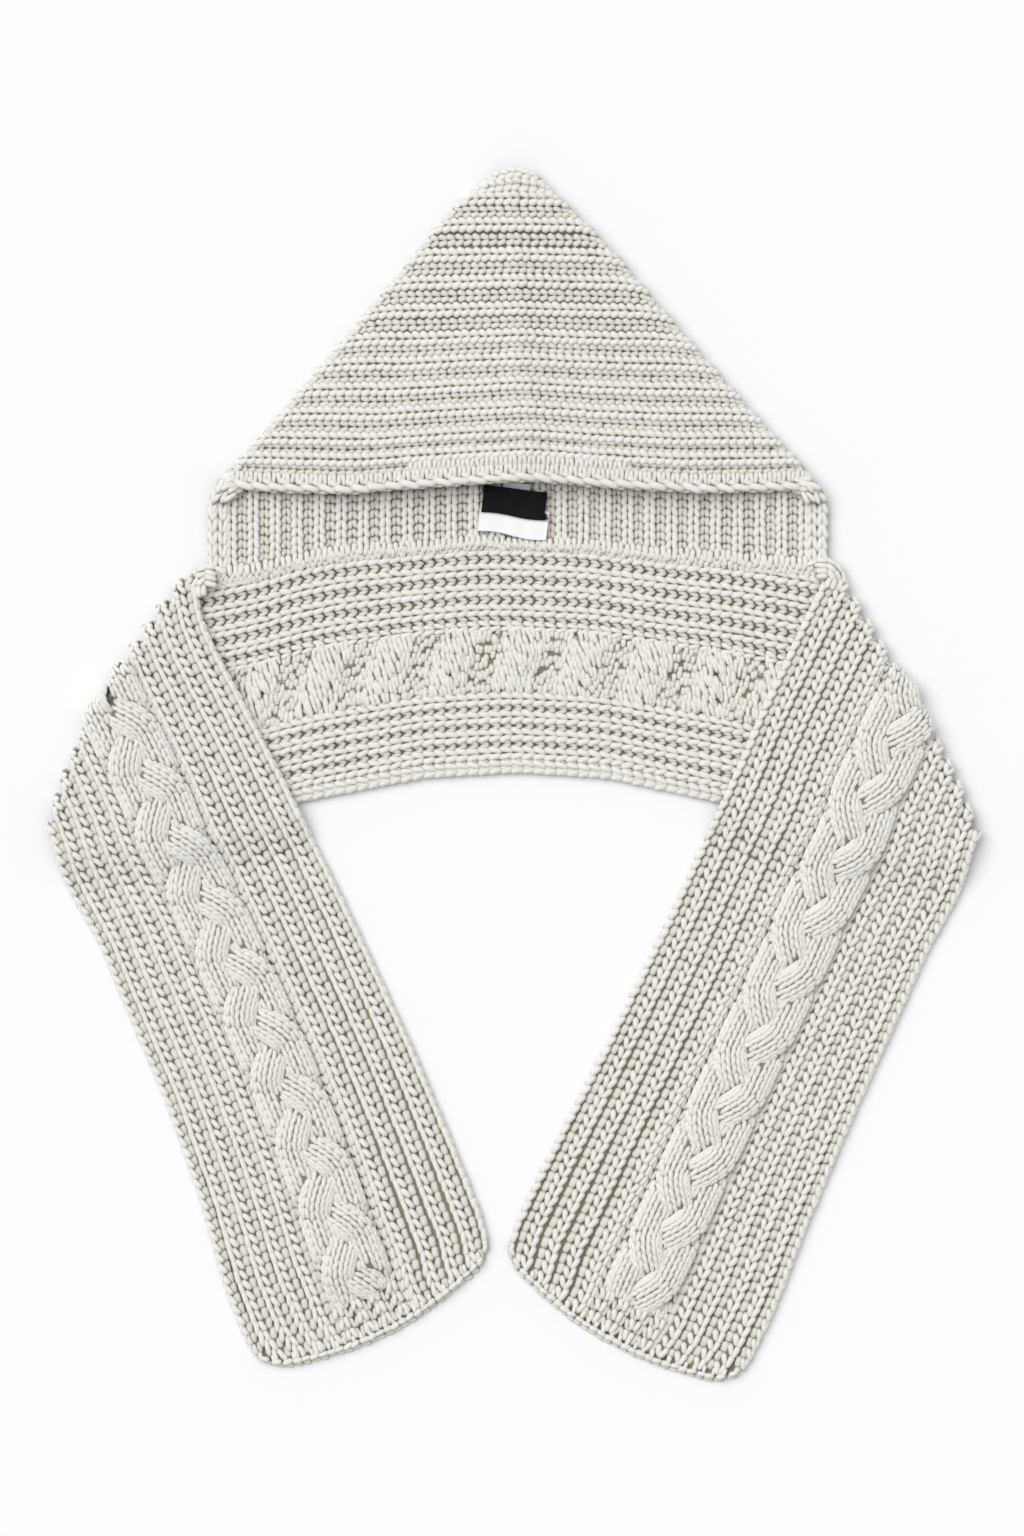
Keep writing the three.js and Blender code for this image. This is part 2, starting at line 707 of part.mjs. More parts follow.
// Labels: the care label and the size tab lie on the lining ribs, and the woven label lies over both.
const labelFloor = clothThickness + partGap;
const tabRise = seamHeight + 2 * partGap - labelFloor;
const wovenRise = tabRise / 2;
const careLevel = labelFloor + careThickness / 2;
const tabLevel = labelFloor + (tabThickness + tabRise) / 2 + partGap / 4;
const wovenLevel = labelFloor + careThickness + 3 * partGap + (wovenRise + labelThickness) / 2;
const carePlace = new THREE.Vector3(careShift, seamUpper(0) + careReach, careLevel);
const tabPlace = new THREE.Vector3(tabShift, seamUpper(0) + tabReach, tabLevel);
const wovenPlace = new THREE.Vector3(labelShift, seamUpper(0) + labelReach, wovenLevel);
snood.add(labelMesh('care_label', careWidth, careHeight, careThickness, carePlace, 0, greyTape));
snood.add(labelMesh('size_tab', tabWidth, tabHeight, tabThickness, tabPlace, tabRise, whiteTape));
snood.add(
  labelMesh('woven_label', labelWidth, labelHeight, labelThickness, wovenPlace, wovenRise, blackTape),
);

// The origin lies on the floor under the middle of the whole outline.
const outline = new THREE.Box3().setFromObject(snood);
const middle = outline.getCenter(new THREE.Vector3());
snood.children.forEach((piece) => {
  piece.position.x -= middle.x;
  piece.position.y -= middle.y;
});

export default snood;
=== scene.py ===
"""Dresses a hooded scarf in thick ribbed wool, with its stitches and labels. It lies flat on its back.

Lengths are millimetres in every class, and metres where a mesh is handed to Blender. Each cloth is a
surface with two lengths on it, u and v, one along its ribs and one across them. Yarn lobes are laid on
that surface, and a backing painted dark, as painted shade between the stitches, lies under them.
"""

from __future__ import annotations

import logging
import math
from dataclasses import dataclass, field, replace
from enum import Enum
from typing import Callable, NamedTuple, Optional, Sequence

import bpy
import numpy as np
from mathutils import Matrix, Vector


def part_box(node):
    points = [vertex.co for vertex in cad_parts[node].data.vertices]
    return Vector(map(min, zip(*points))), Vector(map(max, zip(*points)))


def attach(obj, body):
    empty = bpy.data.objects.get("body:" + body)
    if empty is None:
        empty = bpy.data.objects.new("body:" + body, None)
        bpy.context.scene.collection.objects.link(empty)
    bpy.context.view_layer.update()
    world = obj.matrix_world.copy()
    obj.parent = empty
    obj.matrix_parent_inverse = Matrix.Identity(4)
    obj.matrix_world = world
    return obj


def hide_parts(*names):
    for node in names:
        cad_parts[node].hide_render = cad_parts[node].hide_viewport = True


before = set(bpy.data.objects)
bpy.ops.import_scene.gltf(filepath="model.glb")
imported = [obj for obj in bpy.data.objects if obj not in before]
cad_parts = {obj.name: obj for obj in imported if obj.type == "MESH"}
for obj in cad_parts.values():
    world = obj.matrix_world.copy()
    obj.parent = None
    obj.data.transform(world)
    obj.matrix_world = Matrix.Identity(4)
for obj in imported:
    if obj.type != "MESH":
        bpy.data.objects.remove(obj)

Array = np.ndarray
Surface = Callable[[Array, Array], Array]

MM = 0.001
BODY = "root"
PROBE = 0.4
LABEL_TURN = 7.5
LOG = logging.getLogger("hooded_scarf")


class HoodRow(NamedTuple):
    """Half width and sideways lean of the hood, as shares of its named sizes, down from its tip."""

    fall: float
    half: float
    lean: float


class AcrossRow(NamedTuple):
    """A height, as a share of its named size, at a share of the way across from the middle."""

    across: float
    value: float


class EdgeRow(NamedTuple):
    """Inner and outer edge of an arm, in scarf widths, at a share of the way along it."""

    along: float
    inner: float
    outer: float


HOOD_OUTLINE = (
    HoodRow(0, 0.03, 0.2),
    HoodRow(0.02, 0.08, 0.5),
    HoodRow(0.07, 0.135, 1),
    HoodRow(0.13, 0.21, 1),
    HoodRow(0.25, 0.325, 0.5),
    HoodRow(0.94, 0.933, 0),
    HoodRow(1, 0.976, 0),
)
LOFT_PROFILE = (
    AcrossRow(-1, 0),
    AcrossRow(-0.85, 0.2),
    AcrossRow(-0.6, 0.46),
    AcrossRow(-0.3, 0.7),
    AcrossRow(-0.08, 0.86),
    AcrossRow(0.02, 1),
    AcrossRow(0.12, 0.7),
    AcrossRow(0.3, 0.6),
    AcrossRow(0.6, 0.44),
    AcrossRow(0.85, 0.2),
    AcrossRow(1, 0),
)
MOUTH_LINE = (
    AcrossRow(-1, 0),
    AcrossRow(-0.8, -0.35),
    AcrossRow(-0.57, -0.55),
    AcrossRow(-0.3, 0.0),
    AcrossRow(0.04, 0.52),
    AcrossRow(0.3, -0.02),
    AcrossRow(0.6, -0.45),
    AcrossRow(0.85, -0.3),
    AcrossRow(1, 0),
)
SEAM_LINE = (
    AcrossRow(-1, -1.45),
    AcrossRow(-0.83, -1.22),
    AcrossRow(-0.7, -0.81),
    AcrossRow(-0.57, -0.56),
    AcrossRow(-0.38, -0.4),
    AcrossRow(-0.12, -0.15),
    AcrossRow(0.2, -0.27),
    AcrossRow(0.46, -0.6),
    AcrossRow(0.72, -0.79),
    AcrossRow(1, -1.14),
)
BAND_EDGE = (
    AcrossRow(0, 0),
    AcrossRow(0.2, 0.08),
    AcrossRow(0.44, 0.4),
    AcrossRow(0.7, 0.84),
    AcrossRow(1, 1),
)
LEFT_EDGES = (
    EdgeRow(0, 0.01, 0.992),
    EdgeRow(0.04, 0.055, 1.005),
    EdgeRow(0.08, 0.066, 1.018),
    EdgeRow(0.12, 0.058, 1.008),
    EdgeRow(0.2, 0.04, 0.988),
    EdgeRow(0.3, 0.019, 0.992),
    EdgeRow(0.5, -0.01, 0.995),
    EdgeRow(0.7, -0.025, 1.03),
    EdgeRow(0.85, -0.02, 1.08),
    EdgeRow(0.96, -0.01, 1.085),
    EdgeRow(1, 0.025, 1.04),
)
RIGHT_EDGES = (
    EdgeRow(0, -0.02, 1.008),
    EdgeRow(0.08, -0.022, 1.045),
    EdgeRow(0.2, -0.02, 1.03),
    EdgeRow(0.3, -0.005, 1.038),
    EdgeRow(0.5, 0.01, 1.05),
    EdgeRow(0.7, 0.004, 1.074),
    EdgeRow(0.85, -0.009, 1.104),
    EdgeRow(0.96, -0.012, 1.104),
    EdgeRow(1, 0.024, 1.065),
)


def read(table: Sequence[tuple], column: int, place: Array, reach: float = 0.0) -> Array:
    """Reads one column of a table at places along its first column.

    Args:
        table: Rows in rising order of their first column.
        column: Number of the column that is read.
        place: Where it is read.
        reach: Half width of the stretch that is averaged, to round the table's corners.

    Returns:
        The values, as many as places.
    """
    keys = [row[0] for row in table]
    values = [row[column] for row in table]
    shifts = (0.0,) if reach == 0 else (-reach, -reach / 2, 0.0, reach / 2, reach)
    return np.mean([np.interp(place + shift, keys, values) for shift in shifts], axis=0)


def unit(vectors: Array) -> Array:
    """Gives each row of an array the length 1."""
    return vectors / np.maximum(np.linalg.norm(vectors, axis=-1, keepdims=True), 1e-9)


def smoothstep(share: Array) -> Array:
    """Eases a share between 0 and 1 in and out."""
    held = np.clip(share, 0, 1)
    return held * held * (3 - 2 * held)


@dataclass(frozen=True)
class Cloth:
    """Sizes that every knitted cloth shares, and the place of the seam's middle in the frame."""

    thickness: float = 8.5
    rib_depth: float = 2.2
    layer_gap: float = 0.5
    part_gap: float = 0.3
    yarn: float = 4.7
    seam_width: float = 17.0

    @property
    def valley(self) -> float:
        """Thickness of the cloth in the valleys between its ribs."""
        return self.thickness - self.rib_depth

    @property
    def core(self) -> float:
        """Depth of the cloth's backing under the tops of its stitches."""
        return self.yarn * 0.72

    def origin(self) -> Array:
        """Middle of the neck seam, from which every cloth is measured."""
        low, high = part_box("neck_seam")
        return np.array([(low.x + high.x) / 2 / MM, high.y / MM - self.seam_width / 2, 0.0])


CLOTH = Cloth()


@dataclass
class Frames:
    """Places on a cloth, with the directions along and across its ribs and out of it."""

    place: Array
    along: Array
    across: Array
    out: Array

    @classmethod
    def on(cls, surface: Surface, u: Array, v: Array, side: int) -> "Frames":
        """Measures a surface at lengths u and v.

        Args:
            surface: Gives a place for each u and v.
            u: Lengths along the ribs.
            v: Lengths across the ribs.
            side: 1 where along crossed with across points out of the cloth, else -1.

        Returns:
            The frames at those places.
        """
        along = surface(u + PROBE, v) - surface(u - PROBE, v)
        across = surface(u, v + PROBE) - surface(u, v - PROBE)
        out = unit(np.cross(along, across)) * side
        return cls(surface(u, v), unit(along), unit(across), out)

    def pick(self, held: Array) -> "Frames":
        """Keeps the frames where held is true."""
        return Frames(self.place[held], self.along[held], self.across[held], self.out[held])

    def turned(self) -> "Frames":
        """Swaps the directions along and across, so that lobes lie across the ribs."""
        return Frames(self.place, self.across, self.along, self.out)


class PaintedShade(Enum):
    """Painted shade on a lobe: the deeper in the cloth it lies, or the further it turns from the light,
    the darker it is painted.
    """

    TOP = 1.0
    CREST = 0.94
    SIDE = 0.88
    HOLLOW = 0.7
    VALLEY = 0.55
    DEEP = 0.2


@dataclass(frozen=True)
class Leg:
    """One row of yarn lobes in a column of stitches.

    The offset moves the row across its rib, the slant turns its lobes outwards, and the lift places
    their middles against the tops of the stitches. The dip bends their tips down, and the wander is how
    far they stray from an even row.
    """

    length: float
    width: float
    height: float
    slant: float = 0.0
    lift: float = 0.0
    offset: float = 0.0
    # painted shade of the row's lobes
    tone: PaintedShade = PaintedShade.TOP
    dip: float = 0.2
    wander: float = 1.0


@dataclass
class Lobes:
    """The yarn lobes of one piece, gathered row by row and made into one mesh.

    Lobes that face the floor or lie on it can't be seen, and are left out.
    """

    name: str
    seed: int
    parts: list = field(default_factory=list)

    # painted light: lifts the painted shade of lobes turned to the side
    EDGE_LIGHT = 0.8
    RINGS = (-0.91, -0.52, 0.52, 0.91)
    SIDES = (0.0, 48.0, 90.0, 132.0, 180.0, 270.0)
    HIDDEN_TURN = -0.8
    LOWEST = 0.8
    SLANT_WANDER = 3.5
    TILT_WANDER = 0.03
    AHEAD_WANDER = 0.28
    SHIFT_WANDER = 0.16
    SIZE_WANDER = (0.04, 0.05, 0.05)
    TONE_WANDER = 0.04
    PLUMP = 1.02
    BLUNTNESS = 2.8
    TAPER = 0.14
    TIP_SINK = -0.1
    DIP_POWER = 2.5
    # painted shade at the tips, where a lobe dives under its neighbours
    TIP_SHADE = 0.32

    def __post_init__(self) -> None:
        """Starts the piece's own random numbers."""
        self.random = np.random.default_rng(self.seed)

    def lay(self, spots: Frames, leg: Leg, heading: int = 1) -> None:
        """Lays one lobe at each spot.

        Args:
            spots: Where the lobes lie.
            leg: Their size, slant and tone.
            heading: 1 where their tips point along the rib, -1 where they point back.
        """
        facing = spots.out[:, 2]
        spots = spots.pick((facing > self.HIDDEN_TURN) & (spots.place[:, 2] > self.LOWEST))
        count = len(spots.place)
        if count == 0:
            return
        draw = self.random.normal(size=(8, count)).clip(-2, 2) * leg.wander
        turn = np.radians(leg.slant + self.SLANT_WANDER * draw[0])
        ahead = spots.along * (heading * np.cos(turn))[:, None] + spots.across * np.sin(turn)[:, None]
        ahead = unit(ahead + spots.out * (self.TILT_WANDER * draw[1])[:, None])
        beside = unit(np.cross(spots.out, ahead))
        out = np.cross(ahead, beside)
        place = spots.place + spots.out * (leg.lift + self.SHIFT_WANDER * draw[2])[:, None]
        place = place + ahead * (self.AHEAD_WANDER * draw[3])[:, None]
        place = place + beside * (self.SHIFT_WANDER * draw[4])[:, None]
        sizes = zip((leg.length, leg.width, leg.height), self.SIZE_WANDER, draw[5:8])
        size = np.stack([whole * (1 + wander * drawn) for whole, wander, drawn in sizes], axis=1)
        # painted shade from the leg's tone, a random tone for each lobe, and painted light on lobes
        # turned to the side
        turned = 1 - np.clip(spots.out[:, 2], 0, 1)
        shade = leg.tone.value + self.TONE_WANDER * draw[0] + self.EDGE_LIGHT * turned
        dip = np.full(count, leg.dip)
        self.parts.append((place, ahead, beside, out, size, shade, dip))

    def template(self) -> tuple[Array, Array, Array]:
        """Makes one lobe of unit size.

        Returns:
            Its points, its quads and its triangles.
        """
        angles = np.radians(self.SIDES)
        points = [(-1.0, 0.0, self.TIP_SINK)]
        for ring in self.RINGS:
            wide = self.PLUMP * (1 - abs(ring) ** self.BLUNTNESS) ** 0.5 * (1 - self.TAPER * ring)
            points += [(ring, wide * math.cos(a), wide * math.sin(a)) for a in angles]
        points.append((1.0, 0.0, self.TIP_SINK))
        sides = len(angles)
        quads = []
        for ring in range(len(self.RINGS) - 1):
            first = 1 + ring * sides
            for side in range(sides):
                after = (side + 1) % sides
                next_ring = first + sides
                quads.append((first + side, next_ring + side, next_ring + after, first + after))
        last = 1 + (len(self.RINGS) - 1) * sides
        end = len(points) - 1
        fans = []
        for side in range(sides):
            after = (side + 1) % sides
            fans.append((0, 1 + side, 1 + after))
            fans.append((last + side, end, last + after))
        return np.array(points), np.array(quads), np.array(fans)

    def build(self, material: bpy.types.Material) -> bpy.types.Object:
        """Joins all lobes into one mesh object.

        Args:
            material: The finish that it wears.

        Returns:
            The object, in metres.
        """
        place, ahead, beside, out, size, shade, dip = (np.concatenate(p) for p in zip(*self.parts))
        points, quads, fans = self.template()
        count, each = len(place), len(points)
        half = size[:, None, :] / 2
        local = points[None] * half
        bent = np.abs(points[None, :, 0]) ** self.DIP_POWER
        bow = local[..., 2] - (dip * size[:, 2])[:, None] * bent
        spots = (
            place[:, None]
            + ahead[:, None] * local[..., 0:1]
            + beside[:, None] * local[..., 1:2]
            + out[:, None] * bow[..., None]
        )
        step = (np.arange(count) * each)[:, None, None]
        # painted shade: each lobe is painted darker towards its underside and its tips
        tip = self.TIP_SHADE * np.abs(points[:, 0]) ** 3
        depth = np.clip(0.5 + 0.5 * points[:, 2] - tip, 0, 1)
        fields = {"shade": np.repeat(shade, each), "depth": np.tile(depth, count)}
        turns = np.arctan2(points[:, 2], points[:, 1]) / (2 * math.pi)
        yarn = np.stack([local[..., 0].ravel() / CLOTH.yarn, np.tile(turns, count)], axis=1)
        return make_mesh(
            self.name,
            spots.reshape(-1, 3),
            (quads[None] + step).reshape(-1, 4),
            (fans[None] + step).reshape(-1, 3),
            material,
            fields,
            yarn,
        )


def make_mesh(
    name: str,
    points: Array,
    quads: Array,
    fans: Array,
    material: bpy.types.Material,
    fields: Optional[dict[str, Array]] = None,
    yarn: Optional[Array] = None,
) -> bpy.types.Object:
    """Makes a smooth mesh object that rides on the body. Its points are measured from the seam's middle.

    Args:
        name: The piece's name.
        points: Its points.
        quads: Its four-sided faces.
        fans: Its three-sided faces.
        material: The finish that it wears.
        fields: Named values, one for each point.
        yarn: Place along and around the yarn, one pair for each point.

    Returns:
        The object, riding on the body.
    """
    mesh = bpy.data.meshes.new(name)
    count = len(points)
    corners = np.concatenate([quads.ravel(), fans.ravel()]).astype(np.int32)
    starts = np.concatenate([np.arange(len(quads)) * 4, len(quads) * 4 + np.arange(len(fans)) * 3])
    mesh.vertices.add(count)
    mesh.vertices.foreach_set("co", ((points + CLOTH.origin()) * MM).astype(np.float32).ravel())
    mesh.loops.add(len(corners))
    mesh.loops.foreach_set("vertex_index", corners)
    mesh.polygons.add(len(starts))
    mesh.polygons.foreach_set("loop_start", starts.astype(np.int32))
    mesh.polygons.foreach_set("use_smooth", np.ones(len(starts), bool))
    mesh.update(calc_edges=True)
    mesh.validate()
    for key, values in (fields or {}).items():
        layer = mesh.attributes.new(key, "FLOAT", "POINT")
        layer.data.foreach_set("value", values.astype(np.float32))
    if yarn is not None:
        layer = mesh.uv_layers.new(name="yarn")
        layer.data.foreach_set("uv", yarn[corners].astype(np.float32).ravel())
    mesh.materials.append(material)
    piece = bpy.data.objects.new(name, mesh)
    bpy.context.scene.collection.objects.link(piece)
    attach(piece, BODY)
    return piece


def grid_faces(rows: int, columns: int, start: int = 0, round_about: bool = False) -> list[tuple]:
    """Lists the quads of a grid of points.

    Args:
        rows: How many rows it has.
        columns: How many points a row has.
        start: Number of its first point.
        round_about: Whether each row closes on itself.

    Returns:
        The quads.
    """
    faces = []
    for row in range(rows - 1):
        for column in range(columns if round_about else columns - 1):
            a = start + row * columns + column
            b = start + row * columns + (column + 1) % columns
            faces.append((a, b, b + columns, a + columns))
    return faces


def bridge(first: Sequence[int], second: Sequence[int]) -> list[tuple]:
    """Fills the strip between two chains of points of different lengths.

    Args:
        first: Numbers of the points of one chain.
        second: Numbers of the points of the other.

    Returns:
        The triangles between them.
    """
    faces = []
    here, there = 0, 0
    first_steps, second_steps = len(first) - 1, len(second) - 1
    while here < first_steps or there < second_steps:
        if here < first_steps and here * second_steps <= there * first_steps:
            faces.append((first[here], first[here + 1], second[there]))
            here += 1
        else:
            faces.append((first[here], second[there + 1], second[there]))
            there += 1
    return faces


def closed_sheet(
    name: str, upper: Array, under: Array, material: bpy.types.Material
) -> bpy.types.Object:
    """Makes a closed cloth from two grids of points of one size.

    Args:
        name: The piece's name.
        upper: Points of its upper face, as rows of points.
        under: Points of its under face.
        material: The finish that it wears.

    Returns:
        The cloth.
    """
    rows, columns, _ = upper.shape
    points = np.concatenate([upper.reshape(-1, 3), under.reshape(-1, 3)])
    low = rows * columns
    far = columns - 1
    quads = [face[::-1] for face in grid_faces(rows, columns)]
    quads += grid_faces(rows, columns, low)
    for row in range(rows - 1):
        a, b = row * columns, (row + 1) * columns
        quads.append((b, low + b, low + a, a))
        quads.append((low + a + far, low + b + far, b + far, a + far))
    for column in range(far):
        a, b = column, (rows - 1) * columns + column
        quads.append((low + a, low + a + 1, a + 1, a))
        quads.append((b + 1, low + b + 1, low + b, b))
    # painted shade: the cloth is painted dark as the shade between stitches
    return make_mesh(name, points, np.array(quads), np.zeros((0, 3), int), material, backing(len(points)))


def backing(count: int) -> dict[str, Array]:
    """Gives the named values that paint a backing cloth in the deepest painted shade, the shade between
    stitches, for a number of points.
    """
    return {"shade": np.full(count, PaintedShade.DEEP.value), "depth": np.zeros(count)}


class NodeKit:
    """Adds and joins the nodes of one new material."""

    def __init__(self, name: str, values: dict[str, float]) -> None:
        """Starts the material.

        Args:
            name: Its name.
            values: Even values on its shader's own sockets.
        """
        self.material = bpy.data.materials.new(name)
        self.material.use_nodes = True
        self.tree = self.material.node_tree
        self.shader = self.tree.nodes["Principled BSDF"]
        self.fill(self.shader, values)

    def fill(self, node: bpy.types.Node, values: dict) -> None:
        """Sets values on a node's sockets."""
        for socket, value in values.items():
            node.inputs[socket].default_value = value

    def add(self, kind: str, values: Optional[dict] = None, **settings: str) -> bpy.types.Node:
        """Adds one node.

        Args:
            kind: Its type, without the words that all of them start with.
            values: Values on its sockets.
            settings: Its own settings.

        Returns:
            The node.
        """
        node = self.tree.nodes.new(f"ShaderNode{kind}")
        for setting, value in settings.items():
            setattr(node, setting, value)
        self.fill(node, values or {})
        return node

    def join(self, source: bpy.types.Node, output: str, node: bpy.types.Node, socket: str | int) -> None:
        """Joins an output of one node to a socket of another."""
        self.tree.links.new(source.outputs[output], node.inputs[socket])

    def color(self, source: bpy.types.Node, output: str, stops: Sequence[tuple]) -> None:
        """Colours the shader by a ramp.

        Args:
            source: The node whose value is read.
            output: Which of its outputs.
            stops: First, last and any middle stops, each a position and a colour.
        """
        ramp = self.add("ValToRGB")
        bar = ramp.color_ramp.elements
        for number, (position, color) in enumerate(stops):
            stop = bar[number] if number < 2 else bar.new(position)
            stop.position = position
            stop.color = (*color, 1)
        self.join(source, output, ramp, "Fac")
        self.join(ramp, "Color", self.shader, "Base Color")

    def emboss(self, source: bpy.types.Node, output: str, strength: float, distance: float) -> None:
        """Gives the shader a fine relief.

        Args:
            source: The node whose value is the height.
            output: Which of its outputs.
            strength: Share of the relief that shows.
            distance: Its height in metres.
        """
        bump = self.add("Bump", {"Strength": strength, "Distance": distance})
        self.join(source, output, bump, "Height")
        self.join(bump, "Normal", self.shader, "Normal")


@dataclass(frozen=True)
class Wool:
    """Off-white wool yarn, with painted shade: light on the tops of the stitches, and painted grey-brown
    shade deep between them.
    """

    name: str
    light: tuple = (0.84, 0.825, 0.785)
    # painted shade colours, for the lobes' flanks and for the backing deep between them
    shade: tuple = (0.68, 0.645, 0.57)
    deep: tuple = (0.24, 0.205, 0.145)
    roughness: float = 0.92
    sheen: float = 0.25
    sheen_roughness: float = 0.6
    gloss: float = 0.15
    cloud_scale: float = 60.0
    depth_gain: float = 1.4
    tone_gain: float = 0.55
    tone_base: float = -0.93
    grain: float = 0.16
    ply_stretch: tuple = (1.1, 13.0, 1.0)
    ply_scale: float = 1.6
    ply_gain: float = 1.5
    twist: float = 0.5
    fuzz: float = 1700.0
    relief: float = 0.4
    relief_depth: float = 0.0004

    def make(self) -> bpy.types.Material:
        """Builds the material's nodes.

        Returns:
            The material.
        """
        kit = NodeKit(self.name, {
            "Roughness": self.roughness, "Sheen Weight": self.sheen,
            "Sheen Roughness": self.sheen_roughness, "Specular IOR Level": self.gloss,
        })
        # painted shade: the depth and shade values blend the yarn's light colour into painted shade; the
        # noise adds a random tone
        depth = kit.add("Attribute", attribute_name="depth")
        tone = kit.add("Attribute", attribute_name="shade")
        place = kit.add("TexCoord")
        cloud = kit.add("TexNoise", {"Scale": self.cloud_scale, "Detail": 3.0})
        lift = kit.add("Math", {1: self.tone_gain, 2: self.tone_base}, operation="MULTIPLY_ADD")
        mixed = kit.add("Math", {1: self.depth_gain}, operation="MULTIPLY_ADD")
        grain = kit.add("Math", {1: self.grain}, operation="MULTIPLY_ADD")
        kit.join(place, "Object", cloud, "Vector")
        kit.join(tone, "Fac", lift, 0)
        kit.join(depth, "Fac", mixed, 0)
        kit.join(lift, "Value", mixed, 2)
        kit.join(cloud, "Fac", grain, 0)
        kit.join(mixed, "Value", grain, 2)
        kit.color(grain, "Value", ((0.0, self.deep), (1.0, self.light), (0.5, self.shade)))

        yarn = kit.add("UVMap", uv_map="yarn")
        skew = kit.add("Mapping", {"Scale": self.ply_stretch, "Rotation": (0.0, 0.0, self.twist)})
        plies = kit.add("TexNoise", {"Scale": self.ply_scale, "Detail": 1.5})
        fibre = kit.add("TexNoise", {"Scale": self.fuzz, "Detail": 4.0})
        blend = kit.add("Math", {1: self.ply_gain}, operation="MULTIPLY_ADD")
        kit.join(yarn, "UV", skew, "Vector")
        kit.join(skew, "Vector", plies, "Vector")
        kit.join(place, "Object", fibre, "Vector")
        kit.join(plies, "Fac", blend, 0)
        kit.join(fibre, "Fac", blend, 2)
        kit.emboss(blend, "Value", self.relief, self.relief_depth)
        return kit.material


@dataclass(frozen=True)
class Tape:
    """Woven label tape, with its fine weave as relief."""

    name: str
    color: tuple
    roughness: float
    weave: float
    sheen: float = 0.1
    gloss: float = 0.2
    cloud_scale: float = 180.0
    darkest: float = 0.95
    lightest: float = 1.04
    relief: float = 0.25
    relief_depth: float = 0.0002

    def make(self) -> bpy.types.Material:
        """Builds the material's nodes.

        Returns:
            The material.
        """
        kit = NodeKit(self.name, {
            "Roughness": self.roughness, "Sheen Weight": self.sheen, "Specular IOR Level": self.gloss,
        })
        place = kit.add("TexCoord")
        cloud = kit.add("TexNoise", {"Scale": self.cloud_scale})
        kit.join(place, "Object", cloud, "Vector")
        dark, light = (
            tuple(min(part * share, 1) for part in self.color) for share in (self.darkest, self.lightest)
        )
        kit.color(cloud, "Fac", ((0.0, dark), (1.0, light)))
        crossed = kit.add("Math", operation="MULTIPLY")
        for socket, direction in enumerate("XY"):
            wave = kit.add("TexWave", {"Scale": self.weave}, bands_direction=direction)
            kit.join(place, "Object", wave, "Vector")
            kit.join(wave, "Fac", crossed, socket)
        kit.emboss(crossed, "Value", self.relief, self.relief_depth)
        return kit.material


@dataclass(frozen=True)
class RibStitch:
    """A column of stitches: a few rows of legs that repeat at one pitch."""

    pitch: float
    legs: tuple

    def knit(
        self,
        lobes: Lobes,
        surface: Surface,
        side: int,
        line: Callable[[Array], Array],
        reach: tuple,
        heading: int = 1,
        keep: Optional[Callable[[Array], Array]] = None,
    ) -> None:
        """Lays one column of stitches on a surface.

        Args:
            lobes: The piece that takes them.
            surface: The cloth's surface.
            side: Which way out of the surface is up.
            line: Gives the column's v at each u.
            reach: Its first and last u.
            heading: 1 where the tips of the stitches point to rising u.
            keep: Tells which places are laid.
        """
        start, end = reach
        count = max(int((end - start) / self.pitch), 1)
        u = start + (np.arange(count) + 0.5) * (end - start) / count
        for leg in self.legs:
            spots = Frames.on(surface, u, line(u) + leg.offset, side)
            if keep is not None:
                spots = spots.pick(keep(spots.place))
            lobes.lay(spots, leg, heading)


def v_stitch(leg: Leg, spread: float) -> tuple:
    """Makes the two legs of a V that are each other's mirror image."""
    return (
        replace(leg, offset=-spread / 2),
        replace(leg, offset=spread / 2, slant=-leg.slant),
    )


class LoopRow(NamedTuple):
    """A row of loops on the welt, shifted by a share of their pitch, at a level in half widths."""

    shift: float
    level: float
    leg: Leg


